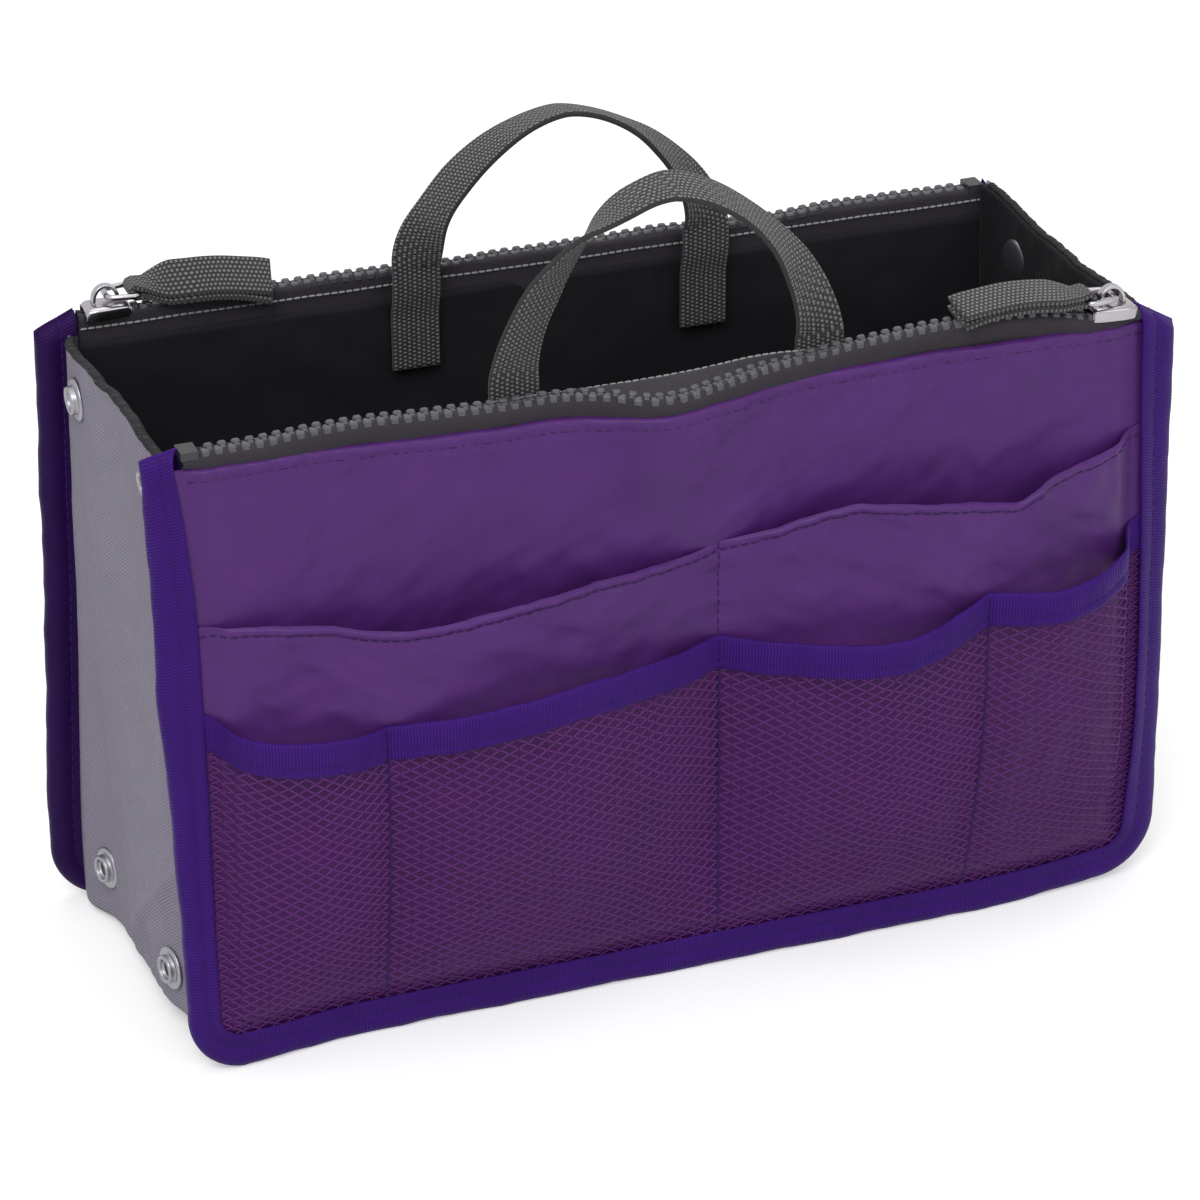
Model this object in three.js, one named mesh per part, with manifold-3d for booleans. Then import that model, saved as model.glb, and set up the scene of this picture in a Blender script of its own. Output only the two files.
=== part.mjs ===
// A purse organizer insert, in millimetres. Two zipped nylon walls stand on their bound edges.
// Two creased gussets and a creased base join them, so the organizer folds thinner.
// +X runs along the walls, +Y towards the rear wall, +Z up, and the floor is z = 0.
import * as THREE from 'three';
import { mergeVertices } from 'three/addons/utils/BufferGeometryUtils.js';
import Module from 'manifold-3d';

const wasm = await Module();
wasm.setup();

// Overall form
const WALL_LENGTH = 286;
const WALL_DEPTH = 101;
const FLANGE = 11;
const CORNER_RADIUS = 17;
const PANEL_TOP = 170;
const CHAIN_TOP = 178.4;
const FOLD_ANGLE = THREE.MathUtils.degToRad(60);

// Cloth thicknesses, and the room left between sewn layers
const PANEL_CLOTH = 1;
const LINING_CLOTH = 1;
const BINDING_CLOTH = 0.8;
const GUSSET_CLOTH = 0.8;
const BASE_CLOTH = 1.6;
const POCKET_CLOTH = 0.8;
const NET_CORD = 0.8;
const LAY = 0.3;
const NET_LAY = 0.6;
const FOLD_CLEARANCE = 0.4;
const ARC_STEPS = 6;

// Binding
const BINDING_TOP = 178.5;
const BINDING_SLANT = 4.5;

// Zips
const TAPE_CLOTH = 0.6;
const TAPE_GAP = 2;
const TAPE_BOTTOM = 157;
const TAPE_END_GAP = 1;
const CHAIN_FROM_BINDING = 7;
const CHAIN_WIDTH = 6;
const CHAIN_HEIGHT = 2.6;
const TAPE_INTO_CHAIN = 0.5;
const TOOTH_PITCH = 3.5;
const TOOTH_REACH = 0.9;
const TOOTH_GAP = 0.42;
const STOP_LENGTH = 4.5;
const STOP_HEIGHT = 2.2;

// Zip sliders
const SLIDER_LENGTH = 12.5;
const SLIDER_WALL = 1.1;
const SLIDER_CLEARANCE = 0.35;
const SLIDER_LIP = 1;
const SLIDER_PAST_CHAIN = 6;
const BRIDGE_LENGTH = 6.4;
const BRIDGE_WIDTH = 2.4;
const BRIDGE_HOLE_RADIUS = 1.5;
const BRIDGE_FOOT = 0.7;
const BRIDGE_CROWN = 1.1;

// Pulls
const RING_WIRE = 1.6;
const RING_LENGTH = 9;
const RING_NARROW = 9;
const RING_WIDE = 11.4;
const PULL_LENGTH = 38;
const PULL_WIDTH = 11.5;
const PULL_NECK_WIDTH = 7.2;
const PULL_SHOULDER = 8;
const PULL_THICKNESS = 3.8;
const PULL_SLOT_CLEARANCE = 0.35;

// Handles
const WEBBING = 1.4;
const WEBBING_WIDTH = 13.5;
const HANDLE_SPAN = 84;
const HANDLE_CENTRE = 2;
const HANDLE_ABOVE_CHAIN = 1.8;
const FRONT_HANDLE_RISE = 47;
const REAR_HANDLE_RISE = 39;
const HANDLE_TAB_BOTTOM = 148;
const HANDLE_STEP_CLEARANCE = 1.35;
const PULL_PASSING_CLEARANCE = 0.3;
const HANDLE_END_GAP = 0.1;
const HANDLE_ROUNDNESS = 1.21;
const HANDLE_TWIST = THREE.MathUtils.degToRad(112);
const HANDLE_TWIST_SHARE = 0.42;
const HANDLE_STATIONS = 24;

// Gussets, base and snaps
const GUSSET_TOP = 171.5;
const GUSSET_DIP = 5;
const SNAP_RADIUS = 6;
const SNAP_HOLE_RADIUS = 2.2;
const SOCKET_HEIGHT = 2.4;
const CAP_HEIGHT = 1.4;
const SNAP_FROM_WALL = 15;
const SNAP_ABOVE_SEAM = 8;
const SNAP_BELOW_TOP = 10;
const SNAP_SIDES = 12;

// Outside pockets: where the seams stand along the wall, and how high the top edge is there
const POCKET_BOTTOM_GAP = 0.3;
const POCKET_RISE_SHARE = 0.6;
const FABRIC_TIER = {
  seamShares: [0, 0.545, 1],
  topShares: [1, 1, 1.097],
  height: 130,
  sag: 4,
  bulge: 11,
};
const NET_TIER = {
  seamShares: [0, 0.186, 0.545, 0.822, 1],
  topShares: [1.03, 0.95, 1, 1, 1.14],
  height: 101,
  sag: 3,
  bulge: 9,
};
const REAR_TIER = {
  seamShares: [0, 0.5, 1],
  topShares: [1, 1, 1],
  height: 118,
  sag: 3,
  bulge: 9,
};
const NET_TAPE_WIDTH = 7.5;
const NET_TAPE_CLOTH = 1.4;
const NET_CELL_WIDTH = 12;
const NET_CELL_HEIGHT = 15.5;
const NET_CROSSING_SHARE = 0.09;
const TIER_STEPS = 8;
const TIER_ROWS = 8;
const NET_TAPE_STEPS = 6;

// Sizes that follow
const WALL_THICKNESS = PANEL_CLOTH + LINING_CLOTH + 2 * (LAY + TAPE_CLOTH) + TAPE_GAP;
const CHAIN_AT = WALL_THICKNESS / 2;
const HALF_LENGTH = WALL_LENGTH / 2;
const HALF_SPAN = HALF_LENGTH - FLANGE;
const CHAIN_LENGTH = 2 * (HALF_SPAN - CHAIN_FROM_BINDING);
const HALF_FOLD = WALL_DEPTH / 2 - WALL_THICKNESS - LAY - BINDING_CLOTH;
const GUSSET_LINING_AT = GUSSET_CLOTH + LAY;
const GUSSET_THICKNESS = GUSSET_LINING_AT + GUSSET_CLOTH;
const CHAIN_BOTTOM = CHAIN_TOP - CHAIN_HEIGHT;
const SLIDER_TOP = CHAIN_TOP + SLIDER_CLEARANCE + SLIDER_WALL;
const SLIDER_BOTTOM = CHAIN_BOTTOM - SLIDER_CLEARANCE - SLIDER_WALL;
const PULL_AXIS = SLIDER_TOP + BRIDGE_FOOT + BRIDGE_HOLE_RADIUS;
// An open zip's slider rests half off the chain, over the tapes' ends
const SLIDER_AT_CHAIN_END = (CHAIN_LENGTH - SLIDER_LENGTH) / 2 - SLIDER_CLEARANCE;
const SLIDER_REST = SLIDER_AT_CHAIN_END + SLIDER_PAST_CHAIN;
const HANDLE_AXIS = CHAIN_TOP + HANDLE_ABOVE_CHAIN;
const HANDLE_STEP_HEIGHT = SLIDER_BOTTOM - HANDLE_STEP_CLEARANCE;
// A pull has to pass between the chain's middle and a handle's foot
const HANDLE_AT = CHAIN_AT + PULL_WIDTH / 2 + PULL_PASSING_CLEARANCE + WEBBING / 2;
// The base is cut back at its ends, so that the folding gussets and their snap caps pass it
const END_CUT = (GUSSET_THICKNESS + LAY + CAP_HEIGHT) / Math.cos(FOLD_ANGLE) + FOLD_CLEARANCE;

// Corners nearer than one part in this many are one corner of a grid
const GRID_STEPS = 1e6;

const FRONT = -1;
const REAR = 1;
const LEFT = -1;
const RIGHT = 1;

// Finishes
const finish = (color, roughness, metalness = 0) =>
  new THREE.MeshStandardMaterial({ color, roughness, metalness });
const NYLON = finish(0x4b2f6b, 0.5);
const GROSGRAIN = finish(0x44277f, 0.7);
const NETTING = finish(0x571d66, 0.6);
const TWILL = finish(0x8e8e92, 0.7);
const LINING = finish(0x1e1c20, 0.75);
const ZIP_TAPE = finish(0x45454a, 0.8);
const STOP_PLASTIC = finish(0x4e4e55, 0.5);
const BRIGHT_METAL = finish(0xc9c9cf, 0.25, 1);
const SNAP_METAL = finish(0x9c9ca2, 0.35, 1);
const WEB = finish(0x4c4e50, 0.85);

const X = new THREE.Vector3(1, 0, 0);
const Y = new THREE.Vector3(0, 1, 0);
const Z = new THREE.Vector3(0, 0, 1);

/** A closed solid from triangles of points, turned so that its faces point out. */
function solidOf(triangles) {
  const volume = triangles.reduce((sum, [a, b, c]) => sum + a.dot(b.clone().cross(c)), 0);
  const facing = volume > 0 ? triangles : triangles.map(([a, b, c]) => [a, c, b]);
  const geometry = new THREE.BufferGeometry().setFromPoints(facing.flat());
  geometry.computeVertexNormals();
  return geometry;
}

/** A sheet with a thickness: polygons on a plane, carried to its two faces by at(u, v, face). */
function sheetOf(polygons, at) {
  const triangles = [];
  const edges = new Map();
  const key = (p, q) => [...p, ...q].map((value) => Math.round(value * GRID_STEPS)).join();
  for (const polygon of polygons) {
    for (let i = 1; i < polygon.length - 1; i++) {
      const fan = [polygon[0], polygon[i], polygon[i + 1]];
      triangles.push(fan.map((p) => at(...p, 0)));
      triangles.push(fan.map((p) => at(...p, 1)).reverse());
    }
    polygon.forEach((p, i) => {
      const q = polygon[(i + 1) % polygon.length];
      edges.set(key(p, q), [p, q]);
    });
  }
  for (const [p, q] of edges.values()) {
    if (edges.has(key(q, p))) continue;
    triangles.push([at(...q, 0), at(...p, 0), at(...p, 1)]);
    triangles.push([at(...q, 0), at(...p, 1), at(...q, 1)]);
  }
  return solidOf(triangles);
}

/** The four-sided cells between the lines of a grid. */
function gridCells(us, vs) {
  const cells = [];
  for (let i = 1; i < us.length; i++) {
    for (let j = 1; j < vs.length; j++) {
      const [u0, u1, v0, v1] = [us[i - 1], us[i], vs[j - 1], vs[j]];
      cells.push([[u0, v0], [u1, v0], [u1, v1], [u0, v1]]);
    }
  }
  return cells;
}

/** The cords of a diamond net over the unit square, with one hole in each cell and each inner corner. */
function netCells(columns, rows) {
  const near = NET_CROSSING_SHARE;
  const side = 0.5 - near;
  const polygons = [];
  for (let i = 0; i < columns; i++) {
    for (let j = 0; j < rows; j++) {
      let turn = ([a, b]) => [a, b];
      for (let quarter = 0; quarter < 4; quarter++) {
        const turned = turn;
        const place = (p) => {
          const [a, b] = turned(p);
          return [(i + a) / columns, (j + b) / rows];
        };
        polygons.push([[side, 0], [1 - side, 0], [0.5, near]].map(place));
        polygons.push([[side, 0], [0.5, near], [near, 0.5], [0, side]].map(place));
        const [a, b] = turned([0, 0]);
        const open = i + a > 0 && i + a < columns && j + b > 0 && j + b < rows;
        if (!open) polygons.push([[0, 0], [side, 0], [0, side]].map(place));
        turn = (p) => {
          const [c, d] = turned(p);
          return [1 - d, c];
        };
      }
    }
  }
  return polygons;
}

const steps = (from, to, count) =>
  Array.from({ length: count + 1 }, (_, i) => from + ((to - from) * i) / count);

/** An outline drawn anticlockwise, with its holes drawn clockwise. */
function shapeOf(points, holes = []) {
  const wound = (loop, clockwise) => {
    const vectors = loop.map(([a, b]) => new THREE.Vector2(a, b));
    return THREE.ShapeUtils.isClockWise(vectors) === clockwise ? vectors : vectors.reverse();
  };
  const shape = new THREE.Shape(wound(points, false));
  shape.holes = holes.map((hole) => new THREE.Path(wound(hole, true)));
  return shape;
}

function extrude(shape, from, to, basis) {
  const options = { depth: to - from, bevelEnabled: false, curveSegments: ARC_STEPS };
  const geometry = new THREE.ExtrudeGeometry(shape, options);
  geometry.translate(0, 0, from);
  return geometry.applyMatrix4(basis);
}

const alongX = new THREE.Matrix4().makeBasis(Y, Z, X);
const alongY = new THREE.Matrix4().makeBasis(X, Z, Y.clone().negate());
const alongZ = new THREE.Matrix4();

/** A piece of wall cloth: an outline in x and z, between two distances in from the wall's outer face. */
function wallPlate(side, shape, outer, inner) {
  const [near, far] = [wallY(side, outer), wallY(side, inner)].sort((a, b) => a - b);
  return extrude(shape, -far, -near, alongY);
}

function wallY(side, inward) {
  return side * (WALL_DEPTH / 2 - inward);
}

function asManifold(geometry) {
  const bare = geometry.clone();
  bare.deleteAttribute('normal');
  bare.deleteAttribute('uv');
  const merged = mergeVertices(bare);
  const vertProperties = new Float32Array(merged.attributes.position.array);
  const triVerts = new Uint32Array(merged.index.array);
  return new wasm.Manifold(new wasm.Mesh({ numProp: 3, vertProperties, triVerts }));
}

function asGeometry(manifold) {
  const mesh = manifold.getMesh();
  const geometry = new THREE.BufferGeometry();
  geometry.setAttribute('position', new THREE.BufferAttribute(mesh.vertProperties, 3));
  geometry.setIndex(new THREE.BufferAttribute(mesh.triVerts, 1));
  geometry.computeVertexNormals();
  return geometry;
}

const joined = (first, ...others) =>
  asGeometry(others.reduce((sum, next) => sum.add(asManifold(next)), asManifold(first)));

const organizer = new THREE.Group();

function piece(name, geometry, material) {
  const mesh = new THREE.Mesh(geometry, material);
  mesh.name = name;
  organizer.add(mesh);
  return mesh;
}

/** The wall's outline with round lower corners, a distance in from the binding's edge. */
function wallShape(inset, top) {
  const x = HALF_LENGTH - inset;
  const radius = CORNER_RADIUS - inset;
  const shape = new THREE.Shape();
  shape.moveTo(-x, top);
  shape.lineTo(-x, inset + radius);
  shape.absarc(-x + radius, inset + radius, radius, Math.PI, 1.5 * Math.PI, false);
  shape.lineTo(x - radius, inset);
  shape.absarc(x - radius, inset + radius, radius, 1.5 * Math.PI, 2 * Math.PI, false);
  shape.lineTo(x, top);
  return shape;
}

/** A band round the left, lower and right edges of the wall, slanting down outwards at its ends. */
function bandShape(outer, inner) {
  const slope = BINDING_SLANT / FLANGE;
  const outside = wallShape(outer, BINDING_TOP - slope * (FLANGE - outer));
  const inside = wallShape(inner, BINDING_TOP - slope * (FLANGE - inner));
  return new THREE.Shape([...outside.getPoints(ARC_STEPS), ...inside.getPoints(ARC_STEPS).reverse()]);
}

/** Grosgrain folded over the wall's edge: two legs and the fold that joins them. */
function binding(side) {
  const outside = -LAY - BINDING_CLOTH;
  const inside = WALL_THICKNESS + LAY + BINDING_CLOTH;
  const leg = bandShape(0, FLANGE);
  return joined(
    wallPlate(side, leg, outside, -LAY),
    wallPlate(side, leg, WALL_THICKNESS + LAY, inside),
    wallPlate(side, bandShape(0, BINDING_CLOTH), outside, inside),
  );
}

/** One row of zip teeth on its tape: the teeth's tips follow a zigzag beside the chain's middle. */
function zipTape(side, onOuterSide) {
  const fromEdge = (distance) =>
    CHAIN_AT + (onOuterSide ? -1 : 1) * (CHAIN_WIDTH / 2 - distance);
  const count = Math.floor(CHAIN_LENGTH / TOOTH_PITCH) * 2;
  const middle = (CHAIN_WIDTH - TOOTH_GAP) / 2;
  const phase = onOuterSide ? 0 : 1;
  const tips = steps(-CHAIN_LENGTH / 2, CHAIN_LENGTH / 2, count).map((x, i) => {
    const reach = (i + phase) % 2 ? TOOTH_REACH : -TOOTH_REACH;
    return [x, wallY(side, fromEdge(middle + reach))];
  });
  const spine = wallY(side, fromEdge(0));
  const comb = shapeOf([[-CHAIN_LENGTH / 2, spine], ...tips, [CHAIN_LENGTH / 2, spine]]);
  const half = HALF_SPAN - TAPE_END_GAP;
  const top = CHAIN_BOTTOM + TAPE_INTO_CHAIN;
  const tape = shapeOf([[-half, TAPE_BOTTOM], [half, TAPE_BOTTOM], [half, top], [-half, top]]);
  const near = CHAIN_AT + (onOuterSide ? -1 : 1) * (TAPE_GAP / 2);
  const far = CHAIN_AT + (onOuterSide ? -1 : 1) * (TAPE_GAP / 2 + TAPE_CLOTH);
  return joined(
    wallPlate(side, tape, Math.min(near, far), Math.max(near, far)),
    extrude(comb, CHAIN_BOTTOM, CHAIN_TOP, alongZ),
  );
}

/** The moulded block that ends the chain away from the resting slider. */
function chainStop(side, end) {
  const from = end * (CHAIN_LENGTH / 2 + LAY);
  const to = from + end * STOP_LENGTH;
  const low = CHAIN_BOTTOM + TAPE_INTO_CHAIN + LAY;
  const shape = shapeOf([[from, low], [to, low], [to, low + STOP_HEIGHT], [from, low + STOP_HEIGHT]]);
  const reach = CHAIN_WIDTH / 2;
  return wallPlate(side, shape, CHAIN_AT - reach, CHAIN_AT + reach);
}

/** A slider that hooks under both edges of the chain, with a bridge for its ring. */
function slider(side, x) {
  const y = wallY(side, CHAIN_AT);
  const inner = CHAIN_WIDTH / 2 + SLIDER_CLEARANCE;
  const outer = inner + SLIDER_WALL;
  const lip = CHAIN_WIDTH / 2 - SLIDER_LIP;
  const ceiling = SLIDER_TOP - SLIDER_WALL;
  const floor = SLIDER_BOTTOM + SLIDER_WALL;
  const half = [[lip, SLIDER_BOTTOM], [outer, SLIDER_BOTTOM], [outer, SLIDER_TOP]];
  const under = [[inner, ceiling], [inner, floor], [lip, floor]];
  const mirrored = (points) => points.map(([a, b]) => [-a, b]).reverse();
  const profile = [...half, ...mirrored(half), ...mirrored(under), ...under];
  const rail = shapeOf(profile.map(([a, b]) => [y + a, b]));
  const top = PULL_AXIS + BRIDGE_HOLE_RADIUS + BRIDGE_CROWN;
  const shoulder = PULL_AXIS;
  const foot = x + BRIDGE_LENGTH / 2;
  const heel = x - BRIDGE_LENGTH / 2;
  const root = SLIDER_TOP - SLIDER_WALL / 2;
  const bridge = new THREE.Shape();
  bridge.moveTo(heel, root);
  bridge.lineTo(foot, root);
  bridge.lineTo(foot, shoulder);
  bridge.lineTo(x + BRIDGE_LENGTH / 4, top);
  bridge.lineTo(x - BRIDGE_LENGTH / 4, top);
  bridge.lineTo(heel, shoulder);
  const hole = new THREE.Path();
  hole.absarc(x, PULL_AXIS, BRIDGE_HOLE_RADIUS, 0, 2 * Math.PI, true);
  bridge.holes.push(hole);
  const arch = extrude(bridge, -y - BRIDGE_WIDTH / 2, -y + BRIDGE_WIDTH / 2, alongY);
  return joined(extrude(rail, x - SLIDER_LENGTH / 2, x + SLIDER_LENGTH / 2, alongX), arch);
}

/** The wire ring through the slider's bridge, wider where it holds the pull. */
function pullRing(side, x, towards) {
  const y = wallY(side, CHAIN_AT);
  const at = (distance) => x + towards * distance;
  const loop = (inset) => {
    const near = at(inset - RING_WIRE / 2);
    const far = at(RING_LENGTH - inset);
    const [narrow, wide] = [RING_NARROW / 2 - inset, RING_WIDE / 2 - inset];
    return [[near, y - narrow], [far, y - wide], [far, y + wide], [near, y + narrow]];
  };
  const ring = shapeOf(loop(0), [loop(RING_WIRE)]);
  return extrude(ring, PULL_AXIS - RING_WIRE / 2, PULL_AXIS + RING_WIRE / 2, alongZ);
}

/** Webbing folded double round the ring's far bar, drawn in to a neck there. */
function pullStrap(side, x, towards) {
  const y = wallY(side, CHAIN_AT);
  const bar = RING_LENGTH - RING_WIRE / 2;
  const slot = RING_WIRE / 2 + PULL_SLOT_CLEARANCE;
  const half = PULL_THICKNESS / 2;
  const at = (distance, height) => [x + towards * (bar + distance), PULL_AXIS + height];
  const end = PULL_LENGTH - half;
  const upper = [[end, half], [PULL_SHOULDER, half], [-half / 2, half], [-half, half / 2]];
  const lower = upper.map(([distance, height]) => [distance, -height]).reverse();
  const shape = shapeOf(
    [...upper, ...lower].map((point) => at(...point)),
    [[at(-slot, -slot), at(slot, -slot), at(slot, slot), at(-slot, slot)]],
  );
  const geometry = extrude(shape, -y - PULL_WIDTH / 2, -y + PULL_WIDTH / 2, alongY);
  const position = geometry.attributes.position;
  for (let i = 0; i < position.count; i++) {
    const along = (towards * (position.getX(i) - x) - bar) / PULL_SHOULDER;
    const share = THREE.MathUtils.clamp(along, 0, 1);
    const width = THREE.MathUtils.lerp(PULL_NECK_WIDTH, PULL_WIDTH, share);
    position.setY(i, y + (Math.sign(position.getY(i) - y) * width) / 2);
  }
  geometry.computeVertexNormals();
  return geometry;
}

/** The sewn end of a handle: thick where the webbing is folded, then a single ply set in. */
function handleTab(side, x) {
  const sewn = WALL_THICKNESS + LAY;
  const [outer, inner] = [HANDLE_AT - WEBBING / 2, HANDLE_AT + WEBBING / 2];
  const top = HANDLE_AXIS - WEBBING / 2 - HANDLE_END_GAP;
  const profile = [
    [wallY(side, sewn), HANDLE_TAB_BOTTOM],
    [wallY(side, inner), HANDLE_TAB_BOTTOM],
    [wallY(side, inner), top],
    [wallY(side, outer), top],
    [wallY(side, outer), HANDLE_STEP_HEIGHT],
    [wallY(side, sewn), HANDLE_STEP_HEIGHT],
  ];
  return extrude(shapeOf(profile), x - WEBBING_WIDTH / 2, x + WEBBING_WIDTH / 2, alongX);
}

/** A webbing loop whose legs lean in to a round top. It is flat to the wall at its ends, and its
 * inner face turns up over the top and a little outwards. */
function handle(side, rise) {
  const y = wallY(side, HANDLE_AT);
  const base = HANDLE_AXIS + HANDLE_END_GAP;
  const corners = steps(0, 1, HANDLE_STATIONS).map((share) => {
    const angle = Math.PI * (1 - share);
    const [run, height] = [Math.abs(Math.cos(angle)), Math.max(Math.sin(angle), 0)];
    const centre = new THREE.Vector3(
      HANDLE_CENTRE + (HANDLE_SPAN / 2) * Math.sign(Math.cos(angle)) * run ** HANDLE_ROUNDNESS,
      y,
      base + rise * height ** HANDLE_ROUNDNESS,
    );
    const flatter = HANDLE_ROUNDNESS - 1;
    const ahead = HANDLE_SPAN * run ** flatter * height;
    const climb = -2 * rise * height ** flatter * Math.cos(angle);
    const along = share % 1 ? new THREE.Vector3(ahead, 0, climb) : new THREE.Vector3(0, 0, 0.5 - share);
    const across = along.normalize().clone().cross(Y);
    const fromEnd = Math.min(share, 1 - share);
    const turn = side * HANDLE_TWIST * THREE.MathUtils.smoothstep(fromEnd, 0, HANDLE_TWIST_SHARE);
    const wide = across.clone().multiplyScalar(Math.cos(turn)).addScaledVector(Y, Math.sin(turn));
    const thin = wide.clone().cross(along).multiplyScalar(WEBBING / 2);
    wide.multiplyScalar(WEBBING_WIDTH / 2);
    return [[1, 1], [-1, 1], [-1, -1], [1, -1]].map(([a, b]) =>
      centre.clone().addScaledVector(wide, a).addScaledVector(thin, b));
  });
  const triangles = [];
  for (let i = 1; i < corners.length; i++) {
    for (let k = 0; k < 4; k++) {
      const [a, b] = [corners[i - 1][k], corners[i - 1][(k + 1) % 4]];
      const [c, d] = [corners[i][(k + 1) % 4], corners[i][k]];
      triangles.push([a, b, c], [a, c, d]);
    }
  }
  const [first, last] = [corners[0], corners[HANDLE_STATIONS]];
  triangles.push([first[0], first[2], first[1]], [first[0], first[3], first[2]]);
  triangles.push([last[0], last[1], last[2]], [last[0], last[2], last[3]]);
  return solidOf(triangles);
}

/** Where x falls among a tier's seams: the pocket's number, and the share of the way across it. */
function pocketAt(tier, x) {
  const share = THREE.MathUtils.clamp((x + HALF_SPAN) / (2 * HALF_SPAN), 0, 1);
  const seams = tier.seamShares;
  const pocket = Math.max(seams.findIndex((seam, i) => i > 0 && share <= seam), 1) - 1;
  return [pocket, (share - seams[pocket]) / (seams[pocket + 1] - seams[pocket])];
}

function tierTop(tier, x) {
  const [pocket, across] = pocketAt(tier, x);
  const [left, right] = [tier.topShares[pocket], tier.topShares[pocket + 1]];
  const sag = tier.sag * Math.sin(Math.PI * across);
  return tier.height * THREE.MathUtils.lerp(left, right, across) - sag;
}

/** How far a pocket stands off the cloth behind it: none at its seams, full in its upper part. */
function tierBulge(tier, x, z) {
  const across = pocketAt(tier, x)[1];
  const up = (z - FLANGE) / (tierTop(tier, x) - FLANGE);
  const rise = Math.sin((Math.PI / 2) * THREE.MathUtils.clamp(up / POCKET_RISE_SHARE, 0, 1));
  return tier.bulge * Math.sin(Math.PI * THREE.MathUtils.clamp(across, 0, 1)) * rise;
}

const fabricOffset = (x, z) => LAY + tierBulge(FABRIC_TIER, x, z);
const netOffset = (x, z) =>
  fabricOffset(x, z) + POCKET_CLOTH + NET_LAY + tierBulge(NET_TIER, x, z);
const rearOffset = (x, z) => LAY + tierBulge(REAR_TIER, x, z);

/** Places a tier's cloth: u is x, v the share of the height, face 1 is the one next to the wall. */
function tierPoint(side, offset, cloth, bottom, top) {
  return (x, v, face) => {
    const z = THREE.MathUtils.lerp(bottom(x), top(x), v);
    const out = offset(x, z) + (face ? 0 : cloth);
    return new THREE.Vector3(x, wallY(side, -out), z);
  };
}

function tierStations(tier, perPocket) {
  const seams = tier.seamShares.map((share) => (2 * share - 1) * (HALF_SPAN - LAY));
  return seams.slice(1).flatMap((seam, i) => steps(seams[i], seam, perPocket).slice(i ? 1 : 0));
}

/** The pocket's lower edge: just inside the binding, and round its lower corners. */
function pocketBottom(x) {
  const radius = CORNER_RADIUS - FLANGE;
  const beyond = Math.max(Math.abs(x) - (HALF_SPAN - radius), 0);
  const inside = radius - POCKET_BOTTOM_GAP;
  return FLANGE + radius - Math.sqrt(Math.max(inside ** 2 - beyond ** 2, 0));
}

function pocketCloth(side, tier, offset) {
  const at = tierPoint(side, offset, POCKET_CLOTH, pocketBottom, (x) => tierTop(tier, x));
  return sheetOf(gridCells(tierStations(tier, TIER_STEPS), steps(0, 1, TIER_ROWS)), at);
}

/** The net of one pocket, up to the tape along its top. */
function pocketNet(number) {
  const seams = NET_TIER.seamShares.map((share) => (2 * share - 1) * (HALF_SPAN - LAY));
  const [left, right] = [seams[number] + LAY / 2, seams[number + 1] - LAY / 2];
  const top = (x) => tierTop(NET_TIER, x) - NET_TAPE_WIDTH - LAY;
  const columns = Math.max(Math.round((right - left) / NET_CELL_WIDTH), 1);
  const rows = Math.max(Math.round((NET_TIER.height - NET_TAPE_WIDTH - FLANGE) / NET_CELL_HEIGHT), 1);
  const place = tierPoint(FRONT, netOffset, NET_CORD, pocketBottom, top);
  const at = (u, v, face) => place(THREE.MathUtils.lerp(left, right, u), v, face);
  return sheetOf(netCells(columns, rows), at);
}

function netTape() {
  const top = (x) => tierTop(NET_TIER, x);
  const bottom = (x) => top(x) - NET_TAPE_WIDTH;
  const at = tierPoint(FRONT, netOffset, NET_TAPE_CLOTH, bottom, top);
  return sheetOf(gridCells(tierStations(NET_TIER, NET_TAPE_STEPS), steps(0, 1, 1)), at);
}

/** How far from a fold line a face at this depth must start, so that it clears the cloth beside it. */
const clearOfFold = (depth) => depth * Math.tan(FOLD_ANGLE) + FOLD_CLEARANCE;

/** Half a gusset, from the wall to the crease, with a top edge that dips towards the crease. */
function gussetHalf(end, side, outer, inner, slantedEdge) {
  const wallEdge = (depth) => side * (HALF_FOLD - clearOfFold(depth));
  const crease = (side * FOLD_CLEARANCE) / 2;
  const x = (depth) => end * (HALF_SPAN - depth);
  const profile = [
    [x(outer), crease],
    [x(outer), wallEdge(slantedEdge ? outer : inner)],
    [x(inner), wallEdge(inner)],
    [x(inner), crease],
  ];
  const geometry = extrude(shapeOf(profile), FLANGE, GUSSET_TOP, alongZ);
  const position = geometry.attributes.position;
  for (let i = 0; i < position.count; i++) {
    const dip = GUSSET_DIP * (1 - Math.abs(position.getY(i)) / HALF_FOLD);
    if (position.getZ(i) > (FLANGE + GUSSET_TOP) / 2) position.setZ(i, GUSSET_TOP - dip);
  }
  geometry.computeVertexNormals();
  return geometry;
}

/** Where the base ends along x, at a distance from the wall. */
const baseEnd = (fromWall) => HALF_SPAN - END_CUT - fromWall * Math.sin(FOLD_ANGLE);

/** Half the base, from a wall to the crease along its middle. */
function baseHalf(side) {
  const profile = [
    [(side * FOLD_CLEARANCE) / 2, FLANGE],
    [side * (HALF_FOLD - clearOfFold(0)), FLANGE],
    [side * (HALF_FOLD - clearOfFold(BASE_CLOTH)), FLANGE + BASE_CLOTH],
    [(side * FOLD_CLEARANCE) / 2, FLANGE + BASE_CLOTH],
  ];
  const geometry = extrude(shapeOf(profile), -1, 1, alongX);
  const position = geometry.attributes.position;
  for (let i = 0; i < position.count; i++) {
    const fromWall = HALF_FOLD - Math.abs(position.getY(i));
    position.setX(i, Math.sign(position.getX(i)) * baseEnd(fromWall));
  }
  geometry.computeVertexNormals();
  return geometry;
}

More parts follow.
